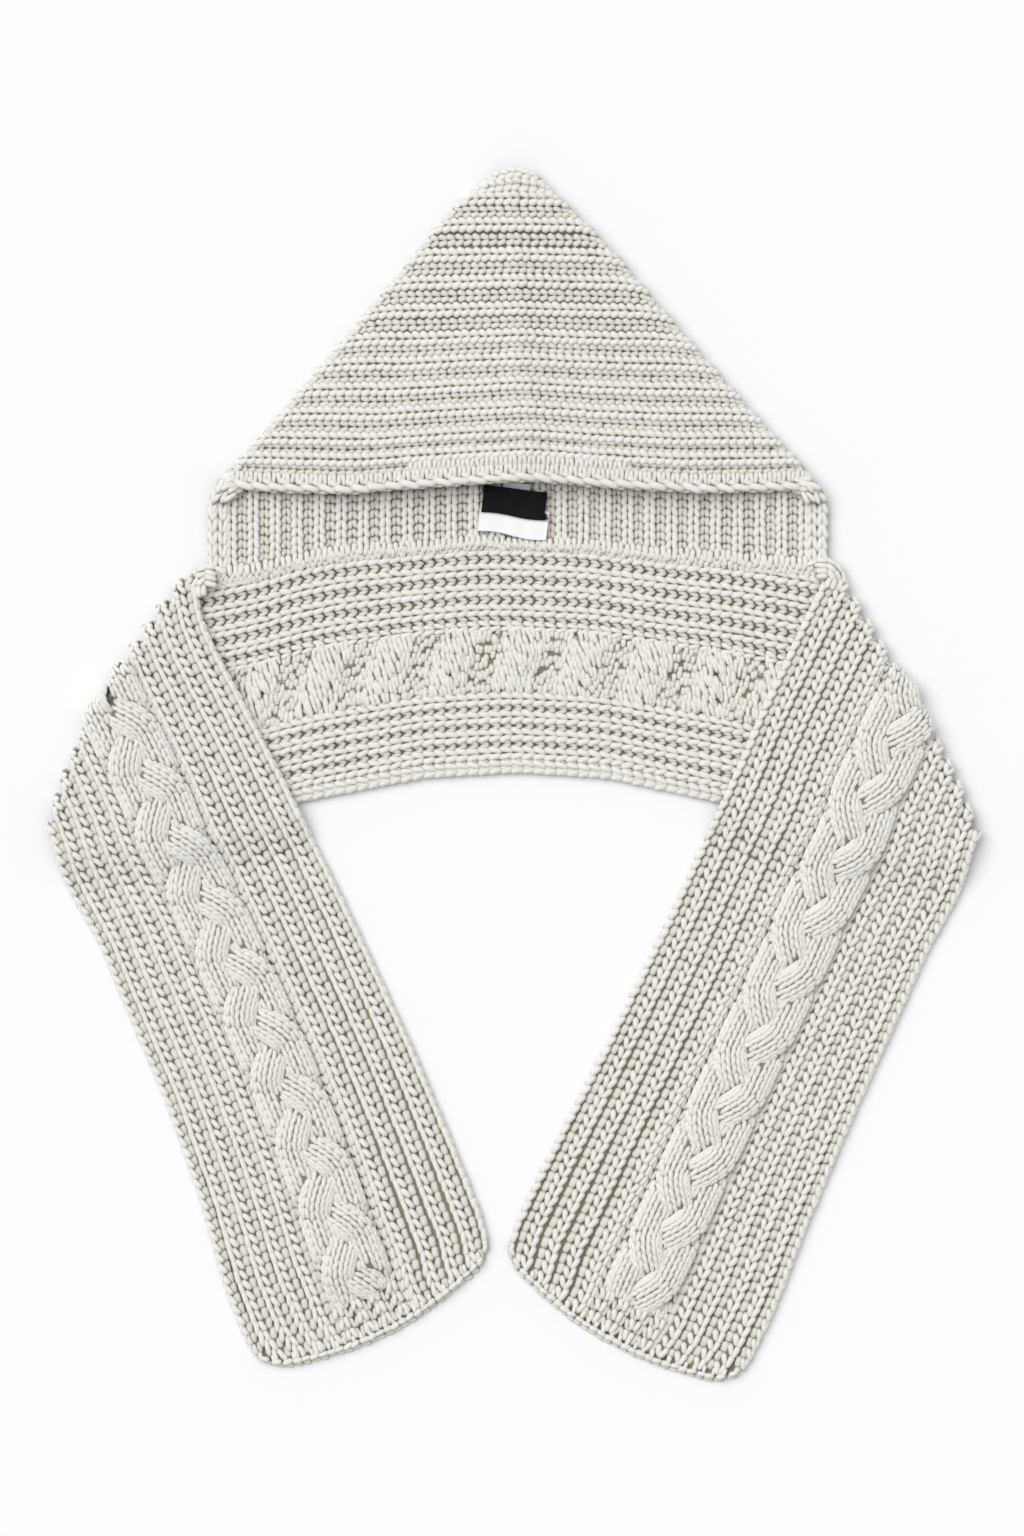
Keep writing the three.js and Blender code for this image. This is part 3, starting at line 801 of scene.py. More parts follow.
@dataclass
class SeamLine:
    """The welt between hood and scarf: a bowed line, widest at its ends, with loops of yarn over it."""

    half_length: float = 280.0
    end_gap: float = 3.0
    width: float = 17.0
    end_width: float = 23.0
    bow: float = 24.0
    height: float = 11.0
    loop_pitch: float = 5.3
    loop_stray: float = 0.9
    core_spots: int = 140
    core_lines: int = 9

    # tones are painted shade: the shorter loops lower down the welt are painted in side shade
    TALL = Leg(13.6, 5.8, 4.8, lift=-2.2, tone=PaintedShade.CREST, wander=1.5)
    SHORT = Leg(10.0, 6.0, 4.2, lift=-2.4, wander=2.0, tone=PaintedShade.SIDE)
    LOOPS = (
        LoopRow(0.0, 0.66, TALL),
        LoopRow(0.5, 1.3, SHORT),
        LoopRow(0.2, 1.75, SHORT),
    )

    def share(self, x: Array) -> Array:
        """Share of the way from the middle to an end."""
        return np.minimum(np.abs(x) / self.half_length, 1.02)

    def joint(self, x: Array) -> Array:
        """Level of the even curve from which hood and arms are set out."""
        return -self.bow * self.share(x) ** 2

    def middle(self, x: Array) -> Array:
        """Level of the seam's middle line."""
        return self.bow * read(SEAM_LINE, 1, x / self.half_length, 0.04)

    def half(self, x: Array) -> Array:
        """Half width of the seam."""
        return (self.width + (self.end_width - self.width) * self.share(x) ** 2) / 2

    def upper(self, x: Array) -> Array:
        """Level of its upper edge."""
        return self.middle(x) + self.half(x)

    def lower(self, x: Array) -> Array:
        """Level of its lower edge."""
        return self.middle(x) - self.half(x)

    def at(self, u: Array, v: Array) -> Array:
        """Place on the welt's crown, at u along it and v across from its upper edge downwards."""
        half = self.half(u)
        share = np.clip(v / half - 1, -1.3, 1.3)
        lift = self.height * np.sqrt(np.clip(1 - (share / 1.25) ** 2, 0.02, 1))
        return np.stack([u, self.middle(u) - share * half, lift], axis=-1)

    def dress(self, wool: bpy.types.Material) -> list[bpy.types.Object]:
        """Builds the welt's core and its loops.

        Args:
            wool: The finish of both.

        Returns:
            The pieces.
        """
        end = self.half_length - self.end_gap
        u = np.linspace(-end, end, self.core_spots)[:, None]
        share = np.linspace(0.08, 1.92, self.core_lines)[None]
        grid_u = np.repeat(u, self.core_lines, axis=1)
        upper = self.at(grid_u, share * self.half(grid_u))
        upper[..., 2] -= CLOTH.core * 0.8
        under = upper.copy()
        under[..., 2] = 0
        core = closed_sheet("neck_seam_core", upper, under, wool)
        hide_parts("neck_seam")

        loops = Lobes("neck_seam_loops", 11)
        count = int(2 * end / self.loop_pitch)
        spots = np.linspace(-end + 2, end - 2, count)
        tilt = loops.random.normal(size=count) * self.loop_stray
        for row in self.LOOPS:
            level = row.level * self.half(spots) + tilt
            places = Frames.on(self.at, spots + row.shift * self.loop_pitch, level, -1)
            loops.lay(places.turned(), row.leg)
        knots = loops.build(wool)
        return [core, knots]


class ChainRow(NamedTuple):
    """A chain of lobes up the side of the mouth, with its radius round the corner and its slant."""

    leg: Leg
    radius: float
    slant: int


@dataclass
class Hood:
    """The hood: a flattened bag of two layers with a slanted cast-off edge round its mouth."""

    seam: SeamLine
    width: float = 560.0
    depth: float = 288.0
    lining_depth: float = 59.0
    mouth_rise: float = 11.0
    loft: float = 18.0
    lining_repeat: float = 19.8
    lining_reach: float = 30.0
    tip_lean: float = 5.0
    tip_solid: float = 26.0
    bead: float = 12.0
    pitch: float = 7.3
    rows: tuple = (0.1, 0.182, 0.276, 0.36, 0.4475, 0.534, 0.61, 0.6875, 0.763, 0.838, 0.9)
    border: float = 0.96
    droop: float = 5.0
    rim: float = 4.5
    side_bend: float = 34.0
    corner_climb: float = 8.5
    tip_rows: tuple = (3.5, 9.5, 15.5, 21.0)
    tip_arch: float = 0.3
    tip_reach: float = 30.0
    bag_start: float = 4.0
    bag_rows: int = 110
    over_spots: int = 73
    back_spots: int = 25
    back_pitch: float = 10.5
    side_inset: float = 2.6
    hollow_rows: int = 24
    hollow_spots: int = 33
    upright_pitch: float = 4.1
    bead_pitch: float = 14.2
    chain_pitch: float = 11.0
    chain_height: float = 9.6
    chain_drop: float = 4.6

    # tones are painted shade: sunk legs and fillers are painted darker as valley shade, upright stitches
    # as crest shade
    RAISED = v_stitch(Leg(10.8, 6.8, 5.4, 24, -2.4), 6.4)
    SUNK = v_stitch(Leg(10.0, 6.4, 5.0, 24, -4.2, tone=PaintedShade.VALLEY), 5.4)
    UPRIGHT = Leg(12.4, 4.9, 4.8, 7, -2.6, tone=PaintedShade.CREST)
    LONG = Leg(21.5, 7.4, 6.4, 14, -3.2, -3.6)
    SHORT = Leg(13.5, 6.0, 5.2, 24, -3.2, -8.0)
    UNDER = Leg(18.0, 6.0, 6.0, 10, -7.5, -2.0)
    OUTER = Leg(17.0, 6.0, 6.4, 14, -2.4)
    INNER = Leg(15.0, 5.6, 5.8, 14, -2.8)
    FILLER = Leg(14.0, 8.0, 5.0, 0, -5.4, tone=PaintedShade.VALLEY)
    CHAINS = (
        ChainRow(OUTER, 30.6, 1),
        ChainRow(OUTER, 26.0, -1),
        ChainRow(FILLER, 28.4, 1),
        ChainRow(INNER, 21.0, 1),
        ChainRow(INNER, 16.6, -1),
        ChainRow(FILLER, 18.8, 1),
    )
    LINING_RAISED = v_stitch(Leg(11.6, 6.0, 5.2, 13, -2.4), 5.4)
    LINING_SUNK = v_stitch(Leg(9.8, 6.0, 4.6, 18, -4.9, tone=PaintedShade.VALLEY), 4.6)

    @property
    def side_height(self) -> float:
        """Height of the hood at its sides, two layers of cloth."""
        return 2 * CLOTH.thickness + 2 * CLOTH.layer_gap

    @property
    def corner(self) -> float:
        """Level of the mouth's corners."""
        end = np.array(self.width / 2)
        return float(self.seam.joint(end) + self.seam.half(end) + self.lining_depth)

    def half(self, fall: Array) -> Array:
        """Half width at a share of the way down from the tip."""
        return self.width / 2 * read(HOOD_OUTLINE, 1, fall, 0.01)

    def mouth(self, across: Array) -> Array:
        """Level of the mouth's edge at a share across."""
        return self.corner + self.mouth_rise * read(MOUTH_LINE, 1, across, 0.05)

    def roof(self, across: Array, fall: Array) -> Array:
        """Height of the upper layer's stitches."""
        growth = np.minimum(1, 0.15 + fall / 0.7)
        return self.side_height + self.loft * growth * read(LOFT_PROFILE, 1, across, 0.05)

    def side_round(self, half: Array) -> Array:
        """Radius of the rounded side."""
        return np.minimum(self.side_height / 2, half * 0.7)

    def girth(self, v: Array) -> Array:
        """Length u at which the rounded side reaches the floor."""
        half = self.half(v / self.depth)
        bend = self.side_round(half)
        return half - bend + bend * math.pi

    def at(self, u: Array, v: Array) -> Array:
        """Gives places on the hood's outside.

        Args:
            u: Lengths sideways from its middle, round its side.
            v: Lengths down from its tip.

        Returns:
            The places.
        """
        fall = np.clip(v / self.depth, 0.0, 1.05)
        half = self.half(fall)
        bend = self.side_round(half)
        flat = half - bend
        angle = np.clip((np.abs(u) - flat) / bend, 0, math.pi)
        x = np.sign(u) * (np.minimum(np.abs(u), flat) + bend * np.sin(angle))
        across = np.clip(x / half, -1, 1)
        middle = self.side_height / 2
        over = self.roof(across, fall) - middle
        tip = np.sqrt(np.clip(1 - (1 - np.clip(v / middle, 0, 1)) ** 2, 0.02, 1))
        lift = np.where(angle < math.pi / 2, over, middle) * np.cos(angle) * tip
        bow = (self.mouth(across) - self.corner) * fall ** 2
        near_side = np.maximum((np.abs(across) - 0.7) / 0.3, 0) ** 2
        droop = self.droop * 4 * fall * (1 - fall) * near_side
        y = self.corner + self.depth - v + bow - droop
        x = x - self.tip_lean * read(HOOD_OUTLINE, 2, fall)
        return np.stack([x, y, middle + lift], axis=-1)

    def relief(self, v: Array) -> Array:
        """Depth of the valleys between the ribs: 0 on a rib and 1 midway between two."""
        steps = np.interp(v / self.depth, self.rows, np.arange(len(self.rows)))
        return 0.5 - 0.5 * np.cos(2 * math.pi * steps)

    def lining_at(self, u: Array, v: Array) -> Array:
        """Place on the back layer's inside, at u down from the mouth's edge and v sideways."""
        top = self.mouth(v / (self.width / 2))
        return np.stack([v, top - u, np.full_like(v, CLOTH.thickness)], axis=-1)

    def bag_outside(self) -> Array:
        """Places the bag's outside, one closed ring of points for each row down from the tip.

        Returns:
            The rings: each runs over the upper layer first, then along the back.
        """
        v = np.linspace(self.bag_start, self.depth - self.rim, self.bag_rows)
        share = np.linspace(-1, 1, self.over_spots)[None]
        grid_u = np.sign(share) * (np.abs(share) ** 0.75) * self.girth(v)[:, None]
        grid_v = np.repeat(v[:, None], self.over_spots, axis=1)
        flat = Frames.on(self.at, grid_u.ravel(), grid_v.ravel(), -1)
        low = self.side_inset * (1 - np.clip(flat.out[:, 2] / 0.6, 0, 1))
        sunk = CLOTH.core + CLOTH.rib_depth * self.relief(grid_v.ravel()) + low
        over = (flat.place - flat.out * sunk[:, None]).reshape(*grid_u.shape, 3)
        over[..., 2] = np.maximum(over[..., 2], 1.2)
        back = np.linspace(over[:, -1], over[:, 0], self.back_spots, axis=1)[:, 1:-1]
        rib = np.abs((back[..., 1] / self.back_pitch) % 2 - 1)
        back[..., 2] = 0.6 + 1.2 * rib
        return np.concatenate([over, back], axis=1)

    def bag_inside(self) -> Array:
        """Places the bag's hollow, one closed ring of points for each row down from its solid tip.

        Returns:
            The rings: each runs under the upper layer first, then along the back layer.
        """
        share = np.linspace(-1, 1, self.hollow_spots)
        middle = self.side_height / 2
        rings = []
        for length in np.linspace(self.tip_solid, self.depth - self.rim, self.hollow_rows):
            fall = np.array(length / self.depth)
            half = float(self.half(fall))
            across = share * (half - CLOTH.thickness) / half
            opened = min((length - self.tip_solid) / (0.1 * self.depth) + 0.15, 1)
            spread = opened * np.minimum(0.06 + (1 - np.abs(share)) / 0.2, 1)
            top = self.roof(across, fall) - CLOTH.thickness
            x = across * half - self.tip_lean * float(read(HOOD_OUTLINE, 2, fall))
            bow = (self.mouth(across) - self.corner) * fall ** 2
            y = self.corner + self.depth * (1 - fall) + bow
            roof = middle + (np.maximum(top, middle + CLOTH.layer_gap) - middle) * spread
            floor = middle + (CLOTH.valley - middle) * spread
            upper = np.stack([x, y, roof], axis=-1)
            lower = np.stack([x, y, floor], axis=-1)[::-1]
            rings.append(np.concatenate([upper, lower[1:-1]]))
        return np.array(rings)

    def build_bag(self, wool: bpy.types.Material) -> bpy.types.Object:
        """Builds the backing cloth of the hood: an open bag with a hollow inside.

        Args:
            wool: Its finish.

        Returns:
            The bag.
        """
        outer, inner = self.bag_outside(), self.bag_inside()
        rows, ring, _ = outer.shape
        inner_rows, inner_ring, _ = inner.shape
        first = rows * ring
        quads = [face[::-1] for face in grid_faces(rows, ring, 0, True)]
        quads += grid_faces(inner_rows, inner_ring, first, True)
        poles = [outer[0].mean(0)[None], inner[0].mean(0)[None]]
        points = np.concatenate([outer.reshape(-1, 3), inner.reshape(-1, 3), *poles])
        fans = [(spot, (spot + 1) % ring, len(points) - 2) for spot in range(ring)]
        fans += [
            (len(points) - 1, first + (spot + 1) % inner_ring, first + spot) for spot in range(inner_ring)
        ]
        rim_out = (rows - 1) * ring
        rim_in = first + (inner_rows - 1) * inner_ring
        far_out, far_in = self.over_spots - 1, self.hollow_spots - 1
        for out_span, in_span in (((0, far_out), (0, far_in)), ((far_out, ring), (far_in, inner_ring))):
            outer_chain = [rim_out + spot % ring for spot in range(out_span[0], out_span[1] + 1)]
            inner_chain = [rim_in + spot % inner_ring for spot in range(in_span[0], in_span[1] + 1)]
            fans += bridge(outer_chain, inner_chain)
        faces = np.array(quads), np.array(fans)
        # painted shade: the bag is painted dark as the shade between stitches
        bag = make_mesh("hood_cloth", points, *faces, wool, backing(len(points)))
        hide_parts("hood")
        return bag

    def build_lining(self, wool: bpy.types.Material) -> bpy.types.Object:
        """Builds the backing cloth of the lining, from inside the mouth down to the seam.

        Args:
            wool: Its finish.

        Returns:
            The cloth.
        """
        reach = self.width / 2 - self.bead * 0.4
        x = np.linspace(-reach, reach, 225)[None]
        levels = np.linspace(0, 1, 12)[:, None]
        low = self.seam.upper(x) - 3
        high = self.mouth(x / (self.width / 2)) + self.lining_reach
        y = low + (high - low) * levels
        narrow = 1 - 0.1 * np.clip((levels - 0.65) / 0.35, 0, 1)
        rib = 0.5 + 0.5 * np.cos(2 * math.pi * (x / self.lining_repeat))
        top = np.repeat(CLOTH.thickness - CLOTH.core - CLOTH.rib_depth * (1 - rib), 12, axis=0)
        grid_x = (x * narrow)[:, ::-1]
        upper = np.stack([grid_x, y[:, ::-1], top[:, ::-1]], axis=-1)
        under = upper.copy()
        under[..., 2] = 0.5
        return closed_sheet("lining_cloth", upper, under, wool)

    def knit_outside(self, wool: bpy.types.Material) -> bpy.types.Object:
        """Lays the ribs of V stitches over the hood and round its sides.

        Args:
            wool: Their finish.

        Returns:
            The stitches.
        """
        lobes = Lobes("hood_stitches", 21)
        raised, sunk = RibStitch(self.pitch, self.RAISED), RibStitch(self.pitch, self.SUNK)
        rows = np.array(self.rows) * self.depth
        steps = np.diff(rows) / 2
        last_valley = min(rows[-1] + steps[-1], self.border * self.depth - 5)
        for level in rows:
            self.knit_row(lobes, raised, float(level))
        for level in (rows[0] - steps[0], *(rows[:-1] + steps), last_valley):
            self.knit_row(lobes, sunk, float(level))
        for number, level in enumerate(self.tip_rows):
            arch = self.tip_arch * (1 - level / self.tip_reach)
            self.knit_row(lobes, sunk if number % 2 else raised, level, arch)
        self.knit_border(lobes)
        return lobes.build(wool)

    def knit_row(self, lobes: Lobes, stitch: RibStitch, level: float, arch: float = 0.0) -> None:
        """Lays one rib of the hood from side to side.

        Args:
            lobes: The piece that takes it.
            stitch: Its stitches.
            level: Its length down from the tip.
            arch: How steeply it falls away from its middle.
        """
        bend = float(self.side_round(self.half(np.array(level / self.depth))))
        reach = float(self.girth(np.array(level))) - bend * 0.7
        stitch.knit(lobes, self.at, -1, lambda u: level + arch * np.abs(u), (-reach, reach))

    def knit_border(self, lobes: Lobes) -> None:
        """Lays the rows of upright stitches along the mouth: one all along it, and a short one above.

        Args:
            lobes: The piece that takes them.
        """
        # painted shade: the left-leaning stitches are painted in side shade
        left_leaning = replace(self.UPRIGHT, slant=-self.UPRIGHT.slant, tone=PaintedShade.SIDE)
        for share, part in ((self.border, 1.0), (self.border - 0.028, 0.36)):
            level = share * self.depth
            reach = (float(self.girth(np.array(level))) - 12) * part
            count = int(2 * reach / self.upright_pitch)
            u = np.linspace(-reach, reach, count)
            turned = Frames.on(self.at, u, np.full_like(u, level), -1).turned()
            even = np.arange(count) % 2 == 0
            lobes.lay(turned.pick(even), self.UPRIGHT)
            lobes.lay(turned.pick(~even), left_leaning)

    def knit_bead(self, wool: bpy.types.Material) -> bpy.types.Object:
        """Lays the twisted cast-off edge along the mouth and the long chains down both sides.

        Args:
            wool: Its finish.

        Returns:
            The edge.
        """
        lobes = Lobes("hood_edge", 31)
        reach = self.width / 2 * 0.93
        u = np.linspace(-reach, reach, int(2 * reach / self.bead_pitch))
        for leg, shift in ((self.SHORT, 0.45), (self.LONG, 0.0), (self.UNDER, 0.5)):
            level = np.full_like(u, self.depth + leg.offset)
            lobes.lay(Frames.on(self.at, u + shift * self.bead_pitch, level, -1), leg)
        for sign in (-1, 1):
            self.knit_side(lobes, sign)
        return lobes.build(wool)

    def knit_side(self, lobes: Lobes, sign: int) -> None:
        """Lays the long chains up one side of the mouth and round its corner into the cast-off edge.

        Args:
            lobes: The piece that takes them.
            sign: 1 for the right side, -1 for the left.
        """
        middle = sign * (self.width / 2 - self.side_bend)
        level = self.corner - self.side_bend * 0.6
        foot = float(self.seam.upper(np.array(middle))) - 1
        for leg, radius, slant in self.CHAINS:
            rise = np.arange(foot, level, self.chain_pitch)
            turn = np.radians(np.arange(6, 76, math.degrees(self.chain_pitch / radius)))
            x = np.concatenate([np.full_like(rise, radius), radius * np.cos(turn)])
            y = np.concatenate([rise, level + radius * np.sin(turn)])
            angle = np.concatenate([np.zeros_like(rise), turn])
            height = self.chain_height + self.corner_climb * smoothstep(angle / 0.85)
            flat = np.zeros_like(x)
            place = np.stack([middle + sign * x, y, height], axis=-1)
            along = np.stack([-sign * np.sin(angle), np.cos(angle), flat], axis=-1)
            outwards = np.stack([sign * np.cos(angle), np.sin(angle), flat], axis=-1)
            outermost = radius > 30
            up = unit(outwards * (0.55 if outermost else 0.0) + np.array([0.0, 0.0, 1.0]))
            leaning = replace(leg, slant=-slant * leg.slant * sign)
            lobes.lay(Frames(place, along, outwards, up), leaning)
            if outermost:
                low = place - [0, 0, self.chain_drop]
                # painted shade: the lower lobes round the rim are painted in side shade
                lobes.lay(Frames(low, along, outwards, outwards), replace(leaning, tone=PaintedShade.SIDE))

    def knit_lining(self, wool: bpy.types.Material) -> bpy.types.Object:
        """Lays the upright ribs of the lining.

        Args:
            wool: Their finish.

        Returns:
            The stitches.
        """
        lobes = Lobes("lining_stitches", 41)
        raised = RibStitch(self.pitch, self.LINING_RAISED)
        sunk = RibStitch(self.pitch, self.LINING_SUNK)
        reach = self.width / 2 - 18
        count = int(2 * reach / self.lining_repeat)
        for rib in range(count + 1):
            for half_step, stitch in ((0.0, raised), (0.5, sunk)):
                x = (rib + half_step - count / 2) * self.lining_repeat
                if abs(x) > reach + 3:
                    continue
                top = self.mouth(np.array(x / (self.width / 2)))
                span = -16, float(top - self.seam.upper(np.array(x))) + 3
                stitch.knit(lobes, self.lining_at, 1, lambda u, x=x: np.full_like(u, x), span, -1)
        return lobes.build(wool)

    def dress(self, wool: bpy.types.Material) -> list[bpy.types.Object]:
        """Builds every piece of the hood.

        Args:
            wool: The finish of all of them.

        Returns:
            The pieces.
        """
        bag = self.build_bag(wool)
        lining = self.build_lining(wool)
        stitches = [self.knit_outside(wool), self.knit_bead(wool), self.knit_lining(wool)]
        return [bag, lining, *stitches]


@dataclass
class Arm:
    """One end of the scarf: it lies right side up over the neck band and wraps round the fold.

    Each arm has its own edges, fold and bulge. The mark is where its plait's first crossing lies.
    """

    side: int
    length: float
    slant: float
    edges: Sequence[EdgeRow]
    fold_bulge: float
    mark: float
    seam: SeamLine
    curl_drop: float = 16.0
    band_lower: Optional[Callable[[Array], Array]] = None
    relief: Optional[Callable[[Array], Array]] = None
    width: float = 221.0
    scallop: float = 4.0
    curl_inset: float = 8.5
    neck_span: float = 568.0
    neck_shift: float = -1.3
    neck_lift: float = 8.0
    fold_lead: float = 166.0
    end_skew: float = 13.0
    end_bulge: float = 21.0
    corner_cut: float = 10.0
    corner_share: float = 0.08
    fall: float = 42.0

    def __post_init__(self) -> None:
        """Works out the arm's corner and directions."""
        turn = math.radians(self.slant)
        x = self.neck_shift + self.side * self.neck_span / 2
        level = float(self.seam.joint(np.array(x)) - self.seam.half(np.array(x)))
        y = level + self.neck_lift - CLOTH.part_gap
        self.corner = np.array([x, y])
        self.down = np.array([-self.side * math.sin(turn), -math.cos(turn)])
        self.outwards = np.array([self.side * math.cos(turn), -math.sin(turn)])
        self.run = self.down * self.fold_lead + self.outwards * self.width * self.edges[0].outer
        self.run_length = float(np.hypot(*self.run))
        self.fold = np.array([-self.run[1], self.run[0]]) / self.run_length * self.side
        self.radius = CLOTH.thickness + CLOTH.layer_gap / 2

    def inner(self, length: Array) -> Array:
        """Sideways place of the inner edge at a length down the arm."""
        return self.width * read(self.edges, 1, length / self.length, 0.02)

    def outer(self, length: Array) -> Array:
        """Sideways place of the outer edge at a length down the arm."""
        share = (length - self.fold_lead) / (self.length + self.end_skew - self.fold_lead)
        return self.width * read(self.edges, 2, share, 0.02)

    def breadth(self, length: Array) -> Array:
        """Width of the arm at a length down it."""
        return self.outer(length) - self.inner(length)

    def crease(self, share: Array) -> Array:
        """Length down the arm at which a column starts at the fold."""
        bow = self.fold_bulge * 6.75 * share ** 2 * (1 - share)
        lean = float(-self.down @ self.fold)
        return self.fold_lead * share - bow / lean

    def finish(self, share: Array) -> Array:
        """Length down the arm at which a column ends."""
        bulge = 1 - (2 * share - 1) ** 2
        along_edge = self.length + self.end_skew * share
        rim = np.minimum(share, 1 - share) / self.corner_share
        return along_edge + self.end_bulge * bulge - self.corner_cut * np.maximum(1 - rim, 0) ** 2

    def underside(self, place: Array) -> Array:
        """Height of the arm's underside: over the band, then down to the floor."""
        past = self.band_lower(place[..., 0]) - place[..., 1] - CLOTH.thickness
        return (CLOTH.thickness + CLOTH.layer_gap) * (1 - smoothstep(past / self.fall))

    def at(self, u: Array, v: Array) -> Array:
        """Gives places on the arm's face, round its edges and its fold.

        Args:
            u: Lengths down the arm.
            v: Lengths outwards from its inner edge.

        Returns:
            The places.
        """
        width = self.breadth(np.maximum(u, 0))
        bend = CLOTH.thickness / 2
        over = np.maximum(np.maximum(bend - v, v - (width - bend)), 0)
        angle = np.clip(over / bend, 0, math.pi)
        outwards = np.where(v < width / 2, -1, 1)
        flat = np.clip(v, bend, width - bend) + outwards * bend * np.sin(angle)
        drop = bend * (1 - np.cos(angle))
        share = np.clip(flat / width, 0, 1)
        start = self.crease(share)
        past = np.maximum(start - u, 0)
        level = np.maximum(u, start)
        sideways = self.inner(np.maximum(level, 0)) + flat
        flat_place = (
            self.corner
            + self.down * level[..., None]
            + self.outwards * sideways[..., None]
        )
        lean = float(-self.down @ self.fold)
        drift = float(-self.down @ (self.run / self.run_length))
        turn = np.clip(past * lean / self.radius, 0, math.pi)
        slide = past * drift * (1 - 0.5 * turn / math.pi)
        slid = self.run / self.run_length * slide[..., None]
        bulge = self.radius + self.scallop * (0.5 - self.relief(share))
        place = flat_place + slid + self.fold * (bulge * np.sin(turn))[..., None]
        top = self.underside(place) + CLOTH.thickness - drop
        wrapped = self.radius + (self.radius - drop) * np.cos(turn)
        height = np.where(past > 0, wrapped, top)
        return np.concatenate([place, height[..., None]], axis=-1)

    def line(self, share: float) -> Callable[[Array], Array]:
        """Gives v of the column at a share across the arm."""
        return lambda u: self.breadth(np.maximum(u, self.crease(np.array(share)))) * share


@dataclass(frozen=True)
class PlaitSizes:
    """The three-strand plait along an arm, its strands and the stitches over them."""

    middle: float = 0.52
    width: float = 64.0
    rise: float = 7.5
    sink: float = 4.6
    repeat: float = 61.3
    end: float = 16.0
    end_sink: float = 6.0
    end_run: float = 34.0
    strand_width: float = 31.0
    strand_thickness: float = 9.0
    first_step: float = 5.8
    path_step: float = 2.0
    fold_wrap: float = 22.0
    crown_rise: float = 1.5
    taper_run: float = 14.0
    core_step: float = 5.0
    core_half: float = 16.5
    core_depth: float = 2.4
    core_thickness: float = 3.0
    cover_height: float = 0.12
    # reach of the painted shadow beside an overlying strand
    shade_reach: float = 1.22
    stitch_pitch: float = 8.0
    stitch_spread: float = 4.35
    stitch_rows: int = 10


